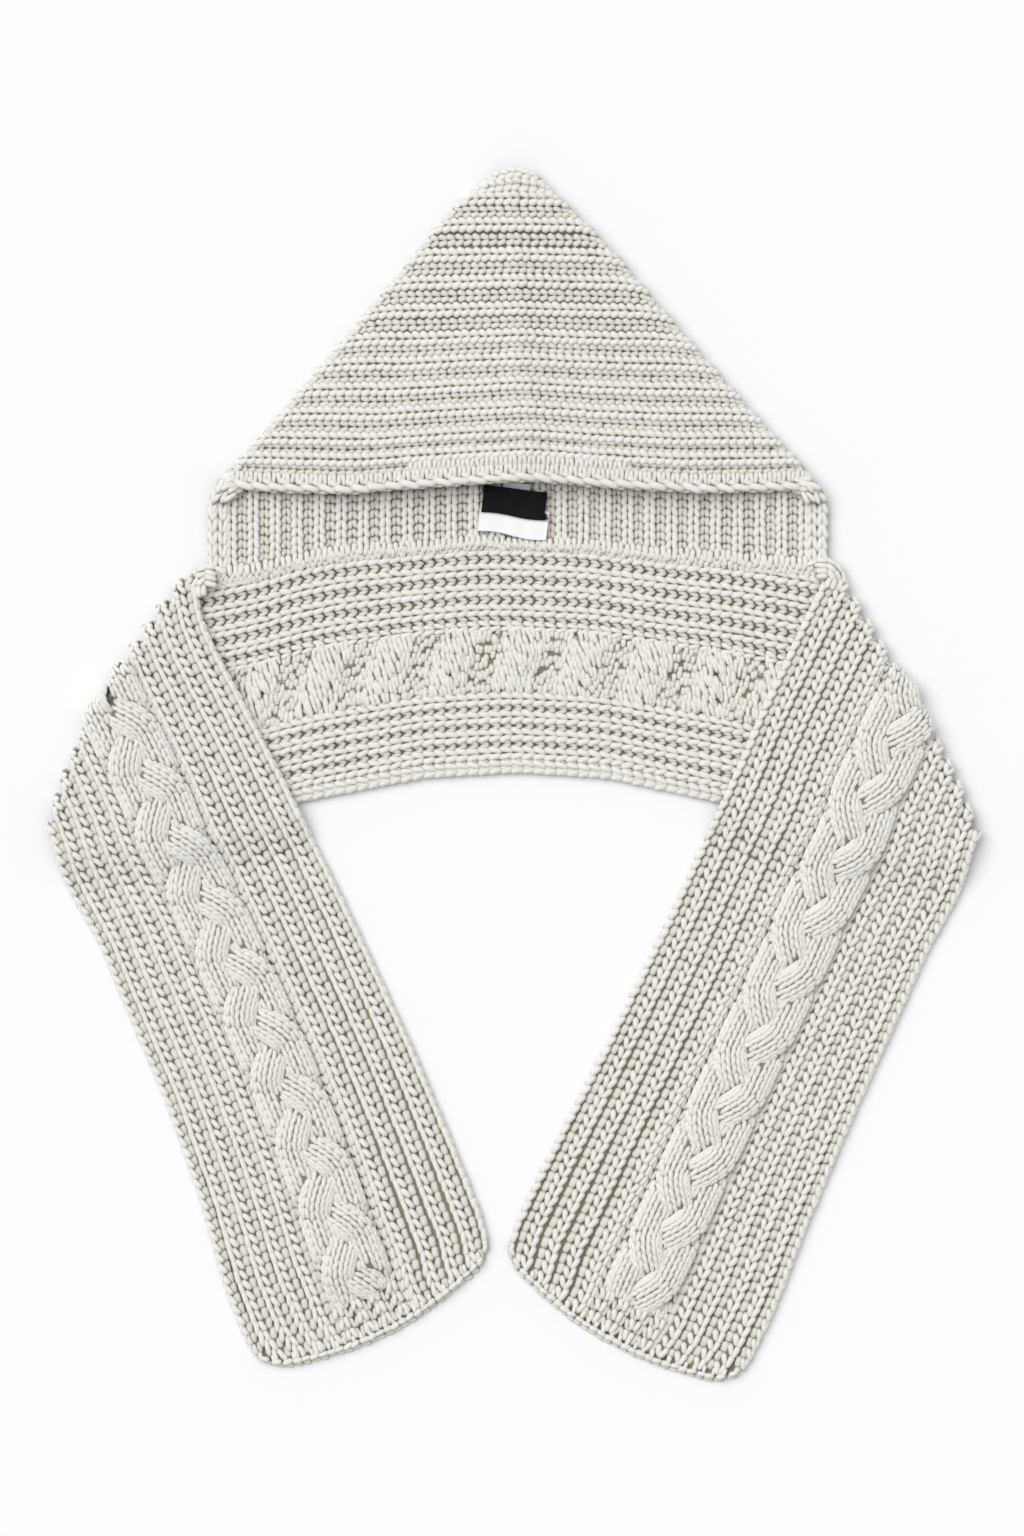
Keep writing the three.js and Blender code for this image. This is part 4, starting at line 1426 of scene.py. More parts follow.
@dataclass
class Strand:
    """One strand of a plait, as a rounded tube that dives under its neighbours."""

    arm: Arm
    sizes: PlaitSizes
    number: int

    STITCH = Leg(13.4, 4.9, 5.0, 9, -2.0, dip=0.42, wander=0.7)

    def __post_init__(self) -> None:
        """Works out the strand's path and the length along it."""
        arm, sizes = self.arm, self.sizes
        first = -6.0
        last = arm.length + arm.end_skew * sizes.middle - sizes.end
        down = np.arange(first, last, sizes.path_step)
        step = sizes.repeat / 2
        turn = (sizes.first_step + arm.side * (down - arm.mark) / step + 2 * self.number) % 6
        moving = turn % 3
        over = np.where(moving < 2, np.sin(math.pi * moving), 0)
        sway = (1 - 2 * smoothstep(moving / 2)) * np.where(turn < 3, 1, -1)
        swing = (sizes.width - sizes.strand_width) / 2
        middle = arm.breadth(down) * sizes.middle
        across = middle + arm.side * swing * sway
        start = arm.crease(np.clip(across / arm.breadth(down), 0, 1))
        held = down > start - sizes.fold_wrap
        down, across, self.over = down[held], across[held], over[held]
        spots = Frames.on(arm.at, down, across, arm.side)
        share = 0.7 + 0.3 * np.maximum(self.over, 0) + 0.7 * np.minimum(self.over, 0)
        lift = sizes.rise * share - sizes.sink
        lift = lift - sizes.end_sink * smoothstep((down - last + sizes.end_run) / sizes.end_run)
        self.path = spots.place + spots.out * lift[:, None]
        steps = np.linalg.norm(np.diff(self.path, axis=0), axis=1)
        self.run = np.concatenate([[0], np.cumsum(steps)])
        ahead = unit(np.gradient(self.path, axis=0))
        self.out = spots.out
        self.beside = unit(np.cross(self.out, ahead))

    def pick(self, values: Array, u: Array) -> Array:
        """Reads values given along the path.

        Args:
            values: A number or a vector for each point of the path.
            u: Lengths along the path.

        Returns:
            The values at those lengths.
        """
        if values.ndim == 1:
            return np.interp(u, self.run, values)
        return np.stack([np.interp(u, self.run, column) for column in values.T], axis=-1)

    def at(self, u: Array, v: Array) -> Array:
        """Gives places on the strand's crown.

        Args:
            u: Lengths along it.
            v: Lengths around it from its top.

        Returns:
            The places.
        """
        half = self.sizes.strand_width / 2
        tall = self.sizes.strand_thickness / 2 + self.sizes.crown_rise
        angle = v / (half * 0.86)
        from_end = np.minimum(u, self.run[-1] - u) / self.sizes.taper_run
        taper = np.clip(from_end, 0.0, 1) ** 0.5 * 0.35 + 0.65
        sideways = half * taper * np.sin(angle)
        lift = tall * np.cos(angle) * taper
        path, beside, out = (self.pick(part, u) for part in (self.path, self.beside, self.out))
        return path + beside * sideways[..., None] + out * lift[..., None]

    def frames(self, u: Array, v: Array) -> Frames:
        """Measures the strand's crown, with every frame pointing out of the strand.

        Args:
            u: Lengths along it.
            v: Lengths around it from its top.

        Returns:
            The frames.
        """
        spots = Frames.on(self.at, u, v, 1)
        flip = np.sign(np.sum(spots.out * self.pick(self.out, u), axis=1) + 1e-6)
        spots.out = spots.out * flip[:, None]
        return spots

    def core(self) -> tuple[Array, Array]:
        """Places the strand's backing.

        Returns:
            Grids of points on its crown and on its foot.
        """
        sizes = self.sizes
        u = np.linspace(0, self.run[-1], int(self.run[-1] / sizes.core_step))[:, None]
        v = np.linspace(-sizes.core_half, sizes.core_half, 9)[None]
        grid_u, grid_v = np.broadcast_arrays(u, v)
        spots = self.frames(grid_u.ravel(), grid_v.ravel())
        crown = spots.place - spots.out * sizes.core_depth
        foot = crown - self.pick(self.out, grid_u.ravel()) * sizes.core_thickness
        return crown.reshape(*grid_u.shape, 3), foot.reshape(*grid_u.shape, 3)

    def covers(self, place: Array, over: Array, reach: float = 0.92) -> Array:
        """Tells which places lie under this strand.

        Args:
            place: The places.
            over: Height of the strand that each place is on.
            reach: Share of the half width within which a place counts as under it.

        Returns:
            True where this strand passes over a place.
        """
        gaps = np.linalg.norm(place[:, None, :2] - self.path[None, :, :2], axis=2)
        nearest = np.argmin(gaps, axis=1)
        close = gaps[np.arange(len(place)), nearest] < self.sizes.strand_width / 2 * reach
        return close & (self.over[nearest] > over + self.sizes.cover_height)

    def knit(self, lobes: Lobes, others: Sequence["Strand"]) -> None:
        """Lays fine columns of stitches over the strand, where no other strand hides it, with painted
        shadow beside the strands over it and painted shade on its flanks.

        Args:
            lobes: The piece that takes them.
            others: The other two strands.
        """
        sizes = self.sizes
        count = int(self.run[-1] / sizes.stitch_pitch)
        for row in range(sizes.stitch_rows):
            phase = (0.5 + 0.35 * (row // 2)) % 1
            u = (np.arange(count) + phase) * self.run[-1] / count
            v = np.full_like(u, (row - (sizes.stitch_rows - 1) / 2) * sizes.stitch_spread)
            spots = self.frames(u, v)
            height = self.pick(self.over, u)
            shown = np.ones(count, bool)
            # painted shadow: stitches beside an overlying strand are sunk and painted in hollow shade
            shaded = np.zeros(count, bool)
            for other in others:
                shown &= ~other.covers(spots.place, height)
                shaded |= other.covers(spots.place, height, sizes.shade_reach)
            turn = self.STITCH.slant if row % 2 == 0 else -self.STITCH.slant
            # painted shade: the rows on the strand's flanks are painted in side shade
            tone = PaintedShade.CREST if 1 < row < sizes.stitch_rows - 2 else PaintedShade.SIDE
            lit = replace(self.STITCH, slant=turn, tone=tone)
            dark = replace(lit, lift=-2.6, tone=PaintedShade.HOLLOW)
            lobes.lay(spots.pick(shown & ~shaded), lit, self.arm.side)
            lobes.lay(spots.pick(shown & shaded), dark, self.arm.side)


class ArcRow(NamedTuple):
    """One arc of stitches round the curl at an arm's corner, with its radius and height."""

    radius: float
    height: float


@dataclass
class Scarf:
    """The scarf: one long strip. Its middle lies wrong side up as a band, with both arms over it."""

    seam: SeamLine
    width: float = 221.0
    neck_shift: float = -1.3
    tuck: float = 22.0
    neck_ribs: float = 4.5
    outer_ribs: float = 4.5
    pitch: float = 9.8
    start_under: float = 30.0
    end_short: float = 7.0
    reach: float = 372.0
    hump: float = 58.5
    hump_lean: float = 0.35
    panel_reach: float = 330.0
    panel_step: float = 4.3
    panel_rows: int = 8
    curl_pitch: float = 9.5
    end_pitch: float = 7.4
    plait: PlaitSizes = field(default_factory=PlaitSizes)

    # tones are painted shade: sunk, ground, panel and band valley legs are painted darker as shade in the
    # recesses, edge legs as side shade
    LEFT_CORD = Leg(17.0, 5.7, 5.6, -4, -2.5, 2.8, dip=0.3)
    RIGHT_CORD = Leg(13.8, 5.9, 5.4, -15, -2.6, 2.7)
    OVAL = Leg(13.0, 6.0, 5.4, 21, -2.8, -2.6)
    SUNK = Leg(12.6, 8.2, 5.0, -10, -4.8, -8.9, tone=PaintedShade.VALLEY)
    GROUND = v_stitch(Leg(13.0, 5.2, 4.8, 16, -4.4, tone=PaintedShade.VALLEY), 4.6)
    ENDING = v_stitch(Leg(12.4, 5.8, 5.4, 13, -2.4), 5.2)
    PANEL_EDGE = Leg(12.8, 5.6, 5.0, -10, -3.6, -2.6, tone=PaintedShade.SIDE)
    CURL = Leg(13.0, 6.2, 5.6, 8, -2.4)
    CURL_ARCS = (
        ArcRow(20.5, 11.5),
        ArcRow(15.2, 16.0),
        ArcRow(10.0, 18.5),
        ArcRow(4.8, 19.0),
    )
    END_STUB = Leg(8.5, 4.8, 4.8, 0, -2.8, wander=2.2)
    END_ROW = Leg(10.5, 5.4, 5.4, 8, -2.6, wander=1.6)
    END_LOW = Leg(10.0, 5.2, 5.2, -10, -6.8, wander=1.6)
    BAND_RAISED = v_stitch(Leg(14.6, 6.3, 5.2, 15, -2.5), 5.8)
    BAND_SUNK = v_stitch(Leg(11.6, 5.6, 5.0, 26, -4.6, tone=PaintedShade.VALLEY), 4.2)
    BAND_RIM = (Leg(12.5, 5.2, 5.0, 10, -3.0), Leg(12.5, 5.2, 5.0, 10, -5.4, 3.0))
    BAND_FINE = v_stitch(Leg(12.6, 5.0, 4.6, 14, -2.8), 4.4)
    FLOAT = Leg(15.0, 5.2, 5.0, 0, -2.4, tone=PaintedShade.CREST, wander=1.2)
    BUMP = replace(FLOAT, length=9.0, width=5.8, tone=PaintedShade.HOLLOW)
    PANEL_BASE = Leg(13.0, 6.8, 4.4, 0, -4.4, tone=PaintedShade.HOLLOW)

    def __post_init__(self) -> None:
        """Places both arms, and ties them to the band's lower edge."""
        self.left = Arm(-1, 668, 23.5, LEFT_EDGES, 12, 182.8, self.seam, 16)
        self.right = Arm(1, 684, 25.8, RIGHT_EDGES, 7, 78.8, self.seam, 10)
        self.corners = {arm.side: arm.corner + arm.run for arm in (self.left, self.right)}
        for arm in (self.left, self.right):
            arm.band_lower = self.lower_edge
            arm.relief = self.relief

    @property
    def panel(self) -> tuple[float, float]:
        """Shares across the scarf at which the plait's panel starts and ends."""
        half = self.plait.width / self.width / 2
        return self.plait.middle - half, self.plait.middle + half

    def lower_edge(self, x: Array) -> Array:
        """Level of the band's lower edge."""
        left, right = self.corners[-1], self.corners[1]
        far = np.where(x < 0, np.abs(x / left[0]), np.abs(x / right[0]))
        start = self.tuck - self.seam.width / 2 - self.width
        end = np.where(x < 0, left[1], right[1])
        return start + (end - start) * read(BAND_EDGE, 1, np.minimum(far, 1), 0.03)

    def band_at(self, u: Array, v: Array) -> Array:
        """Gives places on the band's upper face.

        Args:
            u: Lengths sideways.
            v: Lengths down from its neck edge.

        Returns:
            The places.
        """
        share = np.clip(v / self.width, 0, 1)
        span = np.where(u < 0, np.abs(self.corners[-1][0]), self.corners[1][0])
        far = np.clip(np.abs(u) / span, 0, 1)
        neck = self.seam.lower(u) + self.tuck * (1 - far ** 4) - CLOTH.part_gap
        y = neck + (self.lower_edge(u) - neck) * share
        over = np.clip((v - (self.width - 4)) / 4, 0, 1.6)
        height = CLOTH.thickness - 4 * (1 - np.cos(over))
        return np.stack([u, y - 2 * np.clip(over, 0, 1), height], axis=-1)

    def rib_shares(self) -> tuple[list[float], list[float]]:
        """Places the ribs on both sides of the panel.

        Returns:
            Shares across the scarf of the rib tops, and of the valleys between them.
        """
        start, end = self.panel
        steps = range(5)
        inner, outer = start / self.neck_ribs, (1 - end) / self.outer_ribs
        tops = [inner * step for step in steps] + [end + outer * (step + 0.5) for step in steps]
        valleys = [inner * (step + 0.5) for step in steps] + [end + outer * step for step in steps]
        return tops, valleys

    def relief(self, share: Array) -> Array:
        """Depth of the cloth's valleys at a share across: 0 on a rib and 1 in a valley."""
        tops, valleys = self.rib_shares()
        keys = sorted([(t, 0.0) for t in tops] + [(v, 1.0) for v in valleys])
        smooth = np.interp(share, [k for k, _ in keys], [value for _, value in keys])
        return 0.5 - 0.5 * np.cos(math.pi * smooth)

    def build_arm(self, arm: Arm, name: str, wool: bpy.types.Material) -> bpy.types.Object:
        """Builds the backing cloth of one arm, with its fold and a rounded edge all round.

        Args:
            arm: The arm.
            name: The piece's name.
            wool: Its finish.

        Returns:
            The cloth.
        """
        columns, rows = 65, 120
        share = np.linspace(0, 1, columns)[None]
        step = np.linspace(0, 1, rows)[:, None]
        corner = 2 - smoothstep(share / 0.07) - smoothstep((1 - share) / 0.05)
        start = arm.crease(share) - self.start_under + 36 * corner
        end = arm.finish(share) - 3
        u = start + (end - start) * step
        margin = CLOTH.core * 0.9
        v = margin + (arm.breadth(np.maximum(u, 0)) - 2 * margin) * share
        u, v = u + 0 * v, v + 0 * u
        spots = Frames.on(arm.at, u.ravel(), v.ravel(), arm.side)
        rim = np.minimum(share, 1 - share) * arm.width
        rounding = 2.2 * (1 - np.clip(rim / 3, 0, 1)) ** 2 + 0 * u
        folded = 1.8 * (1 - smoothstep((u - arm.crease(share)) / 10))
        sunk = (CLOTH.core + CLOTH.rib_depth * self.relief(share) + rounding + folded).ravel()
        upper = (spots.place - spots.out * sunk[:, None]).reshape(rows, columns, 3)
        under = (spots.place - spots.out * (CLOTH.thickness - 0.6)).reshape(rows, columns, 3)
        under[..., 2] = np.maximum(under[..., 2], 0.5)
        upper[..., 2] = np.maximum(upper[..., 2], under[..., 2] + 0.4)
        if arm.side < 0:
            upper, under = upper[:, ::-1], under[:, ::-1]
        return closed_sheet(name, upper, under, wool)

    def build_band(self, wool: bpy.types.Material) -> bpy.types.Object:
        """Builds the backing cloth of the neck band.

        Args:
            wool: Its finish.

        Returns:
            The cloth.
        """
        columns, rows = 65, 100
        left, right = self.corners[-1][0] + 4, self.corners[1][0] - 4
        u = np.linspace(left, right, rows)[:, None]
        share = np.linspace(0.02, 0.985, columns)[None]
        grid_u, grid_s = np.broadcast_arrays(u, share)
        upper = self.band_at(grid_u, grid_s * self.width)
        upper[..., 2] -= CLOTH.core + CLOTH.rib_depth * self.relief(grid_s)
        limit = self.fold_limit(upper[..., 1])
        for sign in (-1, 1):
            beyond = sign * upper[..., 0] > sign * limit[sign]
            upper[..., 0] = np.where(beyond, limit[sign], upper[..., 0])
        under = upper.copy()
        under[..., 2] = 0.4
        return closed_sheet("band_cloth", upper[:, ::-1], under[:, ::-1], wool)

    def fold_limit(self, y: Array) -> dict[int, Array]:
        """Sideways place of both fold lines at a level."""
        found = {}
        for arm in (self.left, self.right):
            slope = arm.run[0] / arm.run[1]
            found[arm.side] = arm.corner[0] + (y - arm.corner[1]) * slope
        return found

    def uncovered(self, place: Array) -> Array:
        """Tells which places on the band aren't far under an arm or the seam."""
        shown = place[:, 1] < self.seam.lower(place[:, 0]) + 4
        for arm in (self.left, self.right):
            offset = place[:, :2] - arm.corner
            down = offset @ arm.down
            sideways = offset @ arm.outwards
            shown &= sideways < arm.inner(np.maximum(down, 0)) + 16
        return shown

    def knit_arm(
        self, arm: Arm, name: str, seed: int, wool: bpy.types.Material
    ) -> bpy.types.Object:
        """Lays the ribs of one arm, round its fold and its edges.

        Args:
            arm: The arm.
            name: The piece's name.
            seed: Starts its random numbers.
            wool: Their finish.

        Returns:
            The stitches.
        """
        lobes = Lobes(name, seed)
        cord = self.RIGHT_CORD if arm.side > 0 else self.LEFT_CORD
        rib = RibStitch(self.pitch, (cord, self.OVAL, self.SUNK))
        tops, _ = self.rib_shares()
        for share in tops[1:-1]:
            self.knit_column(lobes, rib, arm, share)
        self.knit_panel_ground(lobes, arm)
        self.knit_edges(lobes, arm, cord)
        self.knit_curl(lobes, arm)
        self.knit_end(lobes, arm)
        return lobes.build(wool)

    def knit_column(
        self,
        lobes: Lobes,
        stitch: RibStitch,
        arm: Arm,
        share: float,
        keep: Optional[Callable[[Array], Array]] = None,
        last_run: Optional[float] = None,
    ) -> None:
        """Lays one column of stitches down an arm, from under its fold to its end.

        Args:
            lobes: The piece that takes them.
            stitch: The stitches.
            arm: The arm.
            share: Where it lies, as a share across the arm.
            keep: Tells which places are laid.
            last_run: Length of the column, up to the arm's end, where it doesn't start at the fold.
        """
        start = float(arm.crease(np.array(share))) - self.start_under
        end = float(arm.finish(np.array(share))) - self.end_short
        if last_run is not None:
            start = end - last_run
        stitch.knit(lobes, arm.at, arm.side, arm.line(share), (start, end), arm.side, keep)

    def knit_panel_ground(self, lobes: Lobes, arm: Arm) -> None:
        """Lays the recessed stitches under and beside the plait, where they show.

        Args:
            lobes: The piece that takes them.
            arm: The arm that the plait lies on.
        """
        strands = [Strand(arm, self.plait, number) for number in range(3)]

        def bare(place: Array) -> Array:
            """Tells which places no strand hides, and which lie near the fold or the arm's end."""
            hidden = np.zeros(len(place), bool)
            for strand in strands:
                hidden |= strand.covers(place, np.full(len(place), -2.0), 0.66)
            offset = place[:, :2] - arm.corner
            down, from_fold = offset @ arm.down, offset @ -arm.fold
            return ~hidden | (down > arm.length - 30) | (from_fold < 34)

        start, end = self.panel
        ground, ending, border = (
            RibStitch(self.pitch, legs) for legs in (self.GROUND, self.ENDING, (self.PANEL_EDGE,))
        )
        for share in np.linspace(start + 0.008, end - 0.008, 8):
            self.knit_column(lobes, ground, arm, float(share), bare)
        for share in np.linspace(start + 0.03, end - 0.03, 4):
            self.knit_column(lobes, ending, arm, float(share), None, self.plait.end_run)
        self.knit_column(lobes, border, arm, start)

    def knit_edges(self, lobes: Lobes, arm: Arm, cord: Leg) -> None:
        """Lays the chains of stitches that roll round both long edges of an arm.

        Args:
            lobes: The piece that takes them.
            arm: The arm.
            cord: The raised leg of its other ribs.
        """
        oval, sunk = self.OVAL, self.SUNK
        inner = (
            replace(cord, offset=3.6),
            replace(oval, slant=10, offset=-1.4),
            replace(oval, offset=-6.4),
        )
        outer = (
            replace(cord, length=14.0, slant=-14, offset=2.2),
            replace(oval, offset=-3.2),
            replace(sunk, offset=-8.4),
            replace(cord, slant=0, offset=7.6),
        )
        for share, legs, late in ((0.0, inner, 12), (1.0, outer, -12)):
            start = float(arm.crease(np.array(share))) + late
            end = float(arm.finish(np.array(share))) - 5
            edge = RibStitch(self.pitch, legs)
            edge.knit(
                lobes, arm.at, arm.side,
                lambda u, share=share: arm.breadth(np.maximum(u, 0)) * share, (start, end), arm.side,
            )

    def knit_curl(self, lobes: Lobes, arm: Arm) -> None:
        """Lays the arcs of stitches where the arm's corner curls round the end of the welt.

        Args:
            lobes: The piece that takes them.
            arm: The arm.
        """
        middle = arm.corner + np.array([-arm.side * arm.curl_inset, -arm.curl_drop])
        leg = replace(self.CURL, slant=self.CURL.slant * arm.side)
        for radius, height in self.CURL_ARCS:
            turn = np.radians(np.arange(-12, 126, math.degrees(self.curl_pitch / radius)))
            outwards = np.stack([arm.side * np.cos(turn), np.sin(turn), 0 * turn], axis=-1)
            along = np.stack([-arm.side * np.sin(turn), np.cos(turn), 0 * turn], axis=-1)
            place = outwards * radius + np.array([*middle, height])
            up = unit(outwards * max(radius - 8, 0) * 0.05 + np.array([0.0, 0.0, 1.0]))
            lobes.lay(Frames(place, along, outwards, up), leg)
            if radius > 18:
                low = place - np.array([0, 0, 5.0]) - outwards * 1.5
                # painted shade: the lower lobes round the curl are painted in side shade
                lobes.lay(Frames(low, along, outwards, outwards), replace(leg, tone=PaintedShade.SIDE))

    def knit_end(self, lobes: Lobes, arm: Arm) -> None:
        """Lays the cast-off edge across the end of an arm.

        Args:
            lobes: The piece that takes it.
            arm: The arm.
        """
        count = int(arm.width / self.end_pitch)
        share = (np.arange(count) + 0.5) / count
        rows = ((self.END_STUB, 8.0, False), (self.END_ROW, 3.4, True), (self.END_LOW, 0.6, True))
        for leg, back, sideways in rows:
            u = arm.finish(share) - back
            width = arm.breadth(u)
            spots = Frames.on(arm.at, u, np.clip(share * width, 4.4, width - 4.4), arm.side)
            ahead = unit(np.gradient(spots.place, axis=0))
            if sideways:
                spots = Frames(spots.place, ahead, unit(np.cross(spots.out, ahead)), spots.out)
            lobes.lay(spots, leg)

    def knit_band(self, wool: bpy.types.Material) -> bpy.types.Object:
        """Lays the ribs of the neck band, wrong side up, where they show.

        Args:
            wool: Their finish.

        Returns:
            The stitches.
        """
        lobes = Lobes("band_stitches", 51)
        tops, valleys = self.rib_shares()
        columns = [(share * self.width, self.BAND_RAISED) for share in tops[:-1]]
        columns += [(share * self.width, self.BAND_SUNK) for share in valleys]
        columns += [(self.width - 4.0, self.BAND_RAISED), (self.width - 0.5, self.BAND_RIM)]
        columns += [(self.panel[0] * self.width + 5.6, self.BAND_FINE)]
        for level, legs in columns:
            RibStitch(self.pitch, legs).knit(
                lobes, self.band_at, -1, lambda u, level=level: np.full_like(u, level),
                (-self.reach, self.reach), 1, self.uncovered,
            )
        return lobes.build(wool)

    def knit_panel(self, wool: bpy.types.Material) -> bpy.types.Object:
        """Lays the back of the cable in the band's recessed panel: upright floats and small bumps.

        Args:
            wool: Their finish.

        Returns:
            The stitches.
        """
        lobes = Lobes("band_panel", 61)
        start, end = (share * self.width for share in self.panel)
        across = np.arange(-self.panel_reach, self.panel_reach, self.panel_step)
        count = len(across)
        for row, level in enumerate(np.linspace(start + 12, end - 2, self.panel_rows)):
            u = across + (row % 2) * self.panel_step / 2 + lobes.random.normal(size=count) * 0.6
            v = np.full_like(u, level) + lobes.random.normal(size=count) * 1.8
            slip = u - self.neck_shift + (level - start) * self.hump_lean
            wave = np.sin(2 * math.pi * slip / self.hump)
            spots = Frames.on(self.band_at, u, v, -1)
            held = self.uncovered(spots.place)
            lean = np.radians(4 + 15 * wave)
            ahead = spots.across * np.cos(lean)[:, None] + spots.along * np.sin(lean)[:, None]
            beside = np.cross(spots.out, ahead)
            rise = 2.4 * wave * math.sin(math.pi * (row + 0.5) / self.panel_rows)
            place = spots.place + spots.out * (rise - 1.0)[:, None]
            upright = Frames(place, ahead, beside, spots.out)
            short = wave + 0.35 * lobes.random.normal(size=count) < -0.25
            lobes.lay(upright.pick(held & ~short), self.FLOAT)
            lobes.lay(upright.pick(held & short), self.BUMP)
            lobes.lay(upright.pick(held), self.PANEL_BASE)
        return lobes.build(wool)

    def build_plait(self, arm: Arm, name: str, seed: int, wool: bpy.types.Material) -> list:
        """Builds one plait: its three strands and the fine stitches over them.

        Args:
            arm: The arm that it lies on.
            name: The first word of its pieces' names.
            seed: Starts its random numbers.
            wool: Their finish.

        Returns:
            The strands' backing and the stitches.
        """
        lobes = Lobes(f"{name}_stitches", seed)
        pieces = []
        strands = [Strand(arm, self.plait, number) for number in range(3)]
        for number, strand in enumerate(strands):
            crown, foot = strand.core()
            pieces.append(closed_sheet(f"{name}_strand_{number + 1}", crown, foot, wool))
            strand.knit(lobes, [other for other in strands if other is not strand])
        return [*pieces, lobes.build(wool)]

    def dress(self, wool: bpy.types.Material) -> list[bpy.types.Object]:
        """Builds every piece of the scarf.

        Args:
            wool: The finish of all of them.

        Returns:
            The pieces.
        """
        band = self.build_band(wool)
        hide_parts("scarf")
        left = self.build_arm(self.left, "scarf_left_cloth", wool)
        right = self.build_arm(self.right, "scarf_right_cloth", wool)
        left_ribs = self.knit_arm(self.left, "scarf_left_stitches", 71, wool)
        right_ribs = self.knit_arm(self.right, "scarf_right_stitches", 72, wool)
        band_ribs = self.knit_band(wool)
        panel = self.knit_panel(wool)
        left_plait = self.build_plait(self.left, "left_plait", 81, wool)
        right_plait = self.build_plait(self.right, "right_plait", 82, wool)
        pieces = [band, left, right, left_ribs, right_ribs, band_ribs, panel]
        pieces += [*left_plait, *right_plait]
        return pieces


@dataclass
class Label:
    """One bare label, a thin tape that follows the ribs under it.

    The wave bends its lower edge, and the shift moves it up from the middle of its node.
    """

    name: str
    node: str
    width: float
    height: float
    thickness: float
    wave: float
    shift: float
    finish: Tape
    slot: str

    GRID_ROWS = 15
    GRID_COLUMNS = 29
    RIPPLE = 0.25

    def build(self) -> bpy.types.Object:
        """Builds the label where its node is.

        Returns:
            The label.
        """
        low, high = (np.array(corner) / MM - CLOTH.origin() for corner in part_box(self.node))
        middle = (low + high) / 2
        turn = -math.radians(LABEL_TURN)
        share = np.linspace(0.0, 1.0, self.GRID_ROWS)[:, None]
        x = np.linspace(-0.5, 0.5, self.GRID_COLUMNS)[None] * self.width
        bend = self.wave * np.sin(2 * math.pi * x / self.width)
        y = (0.5 - share) * self.height - bend * share
        lift = (high[2] - low[2] - self.thickness) * share + low[2] + self.thickness / 2
        ripple = self.RIPPLE * np.cos(2 * math.pi * x / Hood.lining_repeat)
        place_x = middle[0] + x * math.cos(turn) - y * math.sin(turn)
        place_y = middle[1] + self.shift + x * math.sin(turn) + y * math.cos(turn)
        height = lift + ripple
        upper = np.stack([place_x, place_y, height + self.thickness / 2], axis=-1)
        under = np.stack([place_x, place_y, height - self.thickness / 2], axis=-1)
        piece = closed_sheet(self.name, upper[::-1], under[::-1], self.finish.make())
        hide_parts(self.node)
        return piece


@dataclass
class Studio:
    """Plain near-white floor, soft light from the upper left, and a camera straight above."""

    pixel: float = 0.0009
    centre: tuple = (-0.00045, 0.0063)
    distance: float = 6.0
    image_height: int = 1536
    sensor: float = 36.0
    key_power: float = 1.75
    key_angle: float = 50.0
    key_from: tuple = (-1.3, 1.2, 2.4)
    sky: float = 0.62
    sky_color: tuple = (0.97, 0.98, 1.0, 1)
    floor_reach: float = 6.0
    floor_color: tuple = (0.93, 0.93, 0.935, 1)
    floor_roughness: float = 0.9

    def camera(self) -> None:
        """Makes the camera, which takes in the whole frame of the photo."""
        data = bpy.data.cameras.new("view")
        data.sensor_width = self.sensor
        data.sensor_fit = "AUTO"
        data.lens = self.sensor * self.distance / (self.pixel * self.image_height)
        data.clip_end = 30
        camera = bpy.data.objects.new("view", data)
        camera.location = (*self.centre, self.distance)
        bpy.context.scene.collection.objects.link(camera)
        bpy.context.scene.camera = camera

    def sun(self) -> None:
        """Makes the soft main light, from the upper left."""
        data = bpy.data.lights.new("key", "SUN")
        data.energy = self.key_power
        data.angle = math.radians(self.key_angle)
        lamp = bpy.data.objects.new("key", data)
        toward = Vector(self.key_from)
        lamp.rotation_euler = (-toward).to_track_quat("-Z", "Y").to_euler()
        lamp.location = toward
        bpy.context.scene.collection.objects.link(lamp)

    def floor(self) -> None:
        """Makes the plain pale floor."""
        mesh = bpy.data.meshes.new("floor")
        reach = self.floor_reach
        corners = [(-reach, -reach, 0), (reach, -reach, 0), (reach, reach, 0), (-reach, reach, 0)]
        mesh.from_pydata(corners, [], [(0, 1, 2, 3)])
        kit = NodeKit("floor_white", {
            "Base Color": self.floor_color, "Roughness": self.floor_roughness,
        })
        mesh.materials.append(kit.material)
        floor = bpy.data.objects.new("floor", mesh)
        bpy.context.scene.collection.objects.link(floor)

    def world(self) -> None:
        """Fills the shadows with an even pale light."""
        world = bpy.data.worlds.new("studio")
        world.use_nodes = True
        background = world.node_tree.nodes["Background"]
        background.inputs["Color"].default_value = self.sky_color
        background.inputs["Strength"].default_value = self.sky
        bpy.context.scene.world = world

    def build(self) -> None:
        """Makes the floor, the lights and the surroundings."""
        self.floor()
        self.sun()
        self.world()


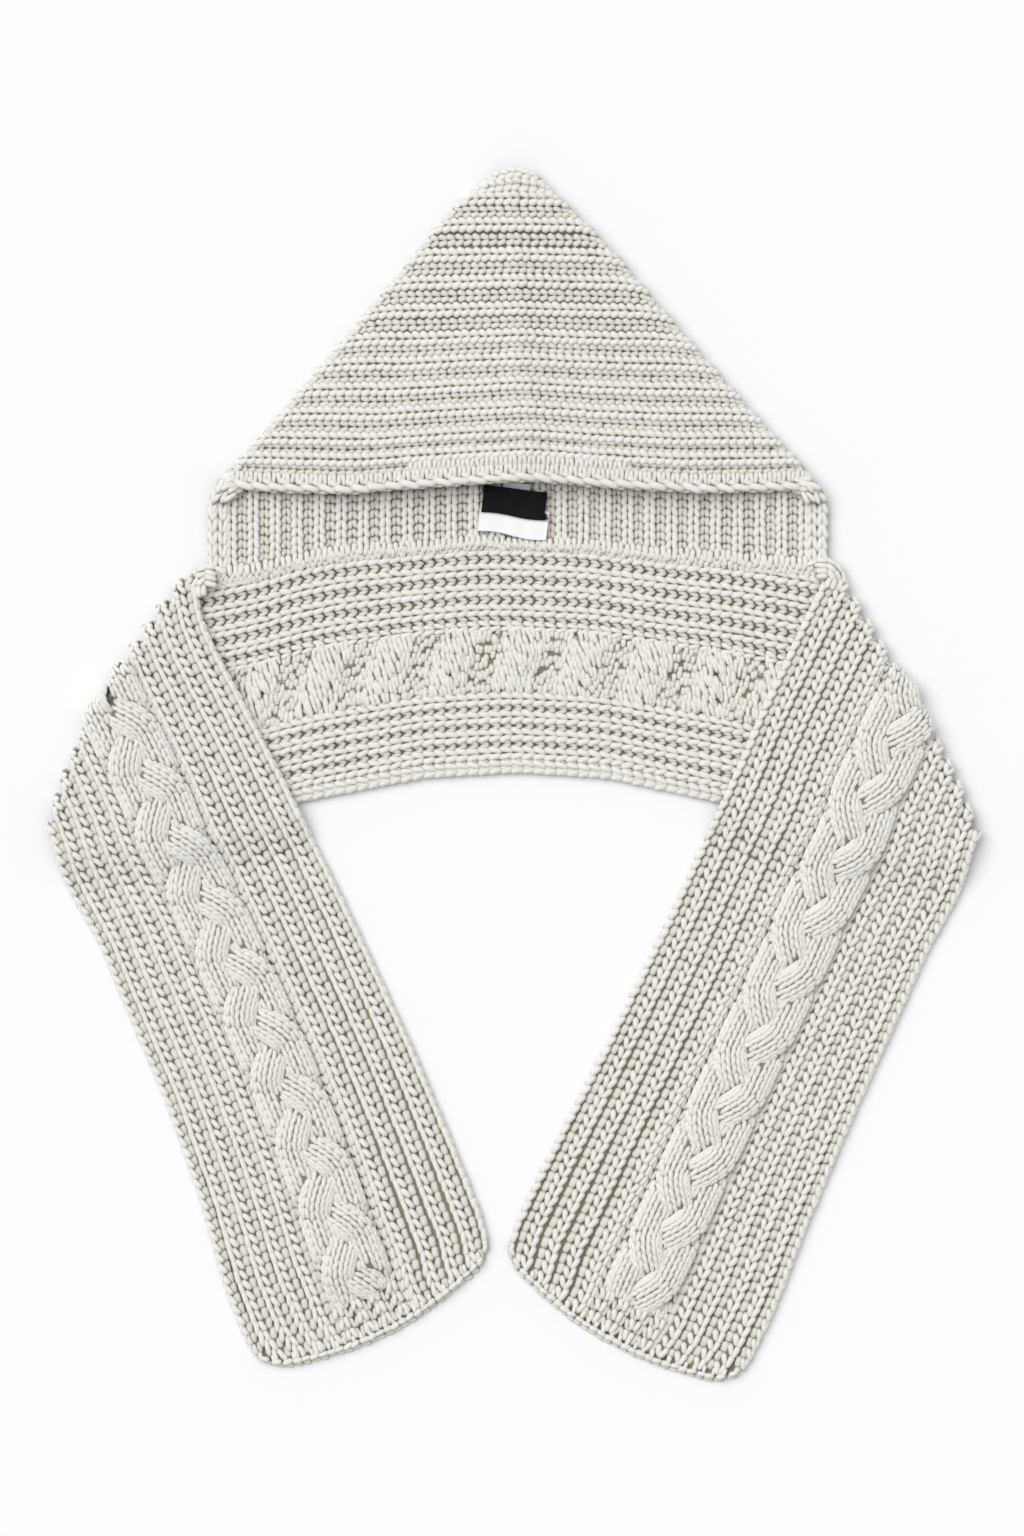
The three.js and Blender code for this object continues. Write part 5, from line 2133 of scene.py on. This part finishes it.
def tack_labels(black: bpy.types.Material) -> bpy.types.Object:
    """Sews black thread tacks over the corners of the woven label.

    Args:
        black: Their finish.

    Returns:
        The tacks.
    """
    lobes = Lobes("label_tacks", 91)
    low, high = (np.array(corner) / MM - CLOTH.origin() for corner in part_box("woven_label"))
    inset = 2.5
    fall = math.tan(math.radians(LABEL_TURN)) * (high[0] - low[0])
    corners = (
        (low[0] + inset, high[1] - inset),
        (high[0] - inset, high[1] - fall),
        (high[0] - inset, low[1] + inset + 2),
    )
    across, out = np.array([[0.0, 1.0, 0.0]]), np.array([[0.0, 0.0, 1.0]])
    for x, y in corners:
        for step in range(-2, 3):
            place = np.array([[x + (step % 2) * 1.2, y + step * 1.2, high[2] + 0.2]])
            along = np.array([[1.0, 0.12 * step, 0.0]])
            lobes.lay(Frames(place, along, across, out), Leg(5.0, 1.3, 1.2, 0, 0.1))
    piece = lobes.build(black)
    return piece


def main() -> None:
    """Builds the studio and every piece in order."""
    bpy.context.scene.view_settings.view_transform = "Standard"
    logging.basicConfig(level=logging.INFO, format="%(message)s")
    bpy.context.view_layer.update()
    studio = Studio()
    studio.camera()
    wool = Wool("wool").make()
    seam = SeamLine()
    pieces = [*seam.dress(wool)]
    pieces += Hood(seam).dress(wool)
    pieces += Scarf(seam).dress(wool)
    black = Tape("black_tape", (0.0035, 0.004, 0.006), 0.8, 900.0, 0.0)
    white = Tape("white_tape", (0.93, 0.93, 0.925), 0.5, 1200.0)
    grey = Tape("grey_tape", (0.72, 0.73, 0.75), 0.5, 1200.0)
    labels = (
        Label("care_tape", "care_label", 24, 17, 0.5, 0.0, 2.0, grey, "grey_tape"),
        Label("size_tape", "size_tab", 63, 26, 0.7, 1.4, 3.0, white, "white_tape"),
        Label("woven_tape", "woven_label", 57, 25, 1.0, 0.9, 1.6, black, "black_tape"),
    )
    pieces += [label.build() for label in labels]
    pieces.append(tack_labels(black.make()))
    studio.build()
    for piece in pieces:
        LOG.info("%s: %d faces", piece.name, len(piece.data.polygons))


if __name__ == "__main__":
    main()
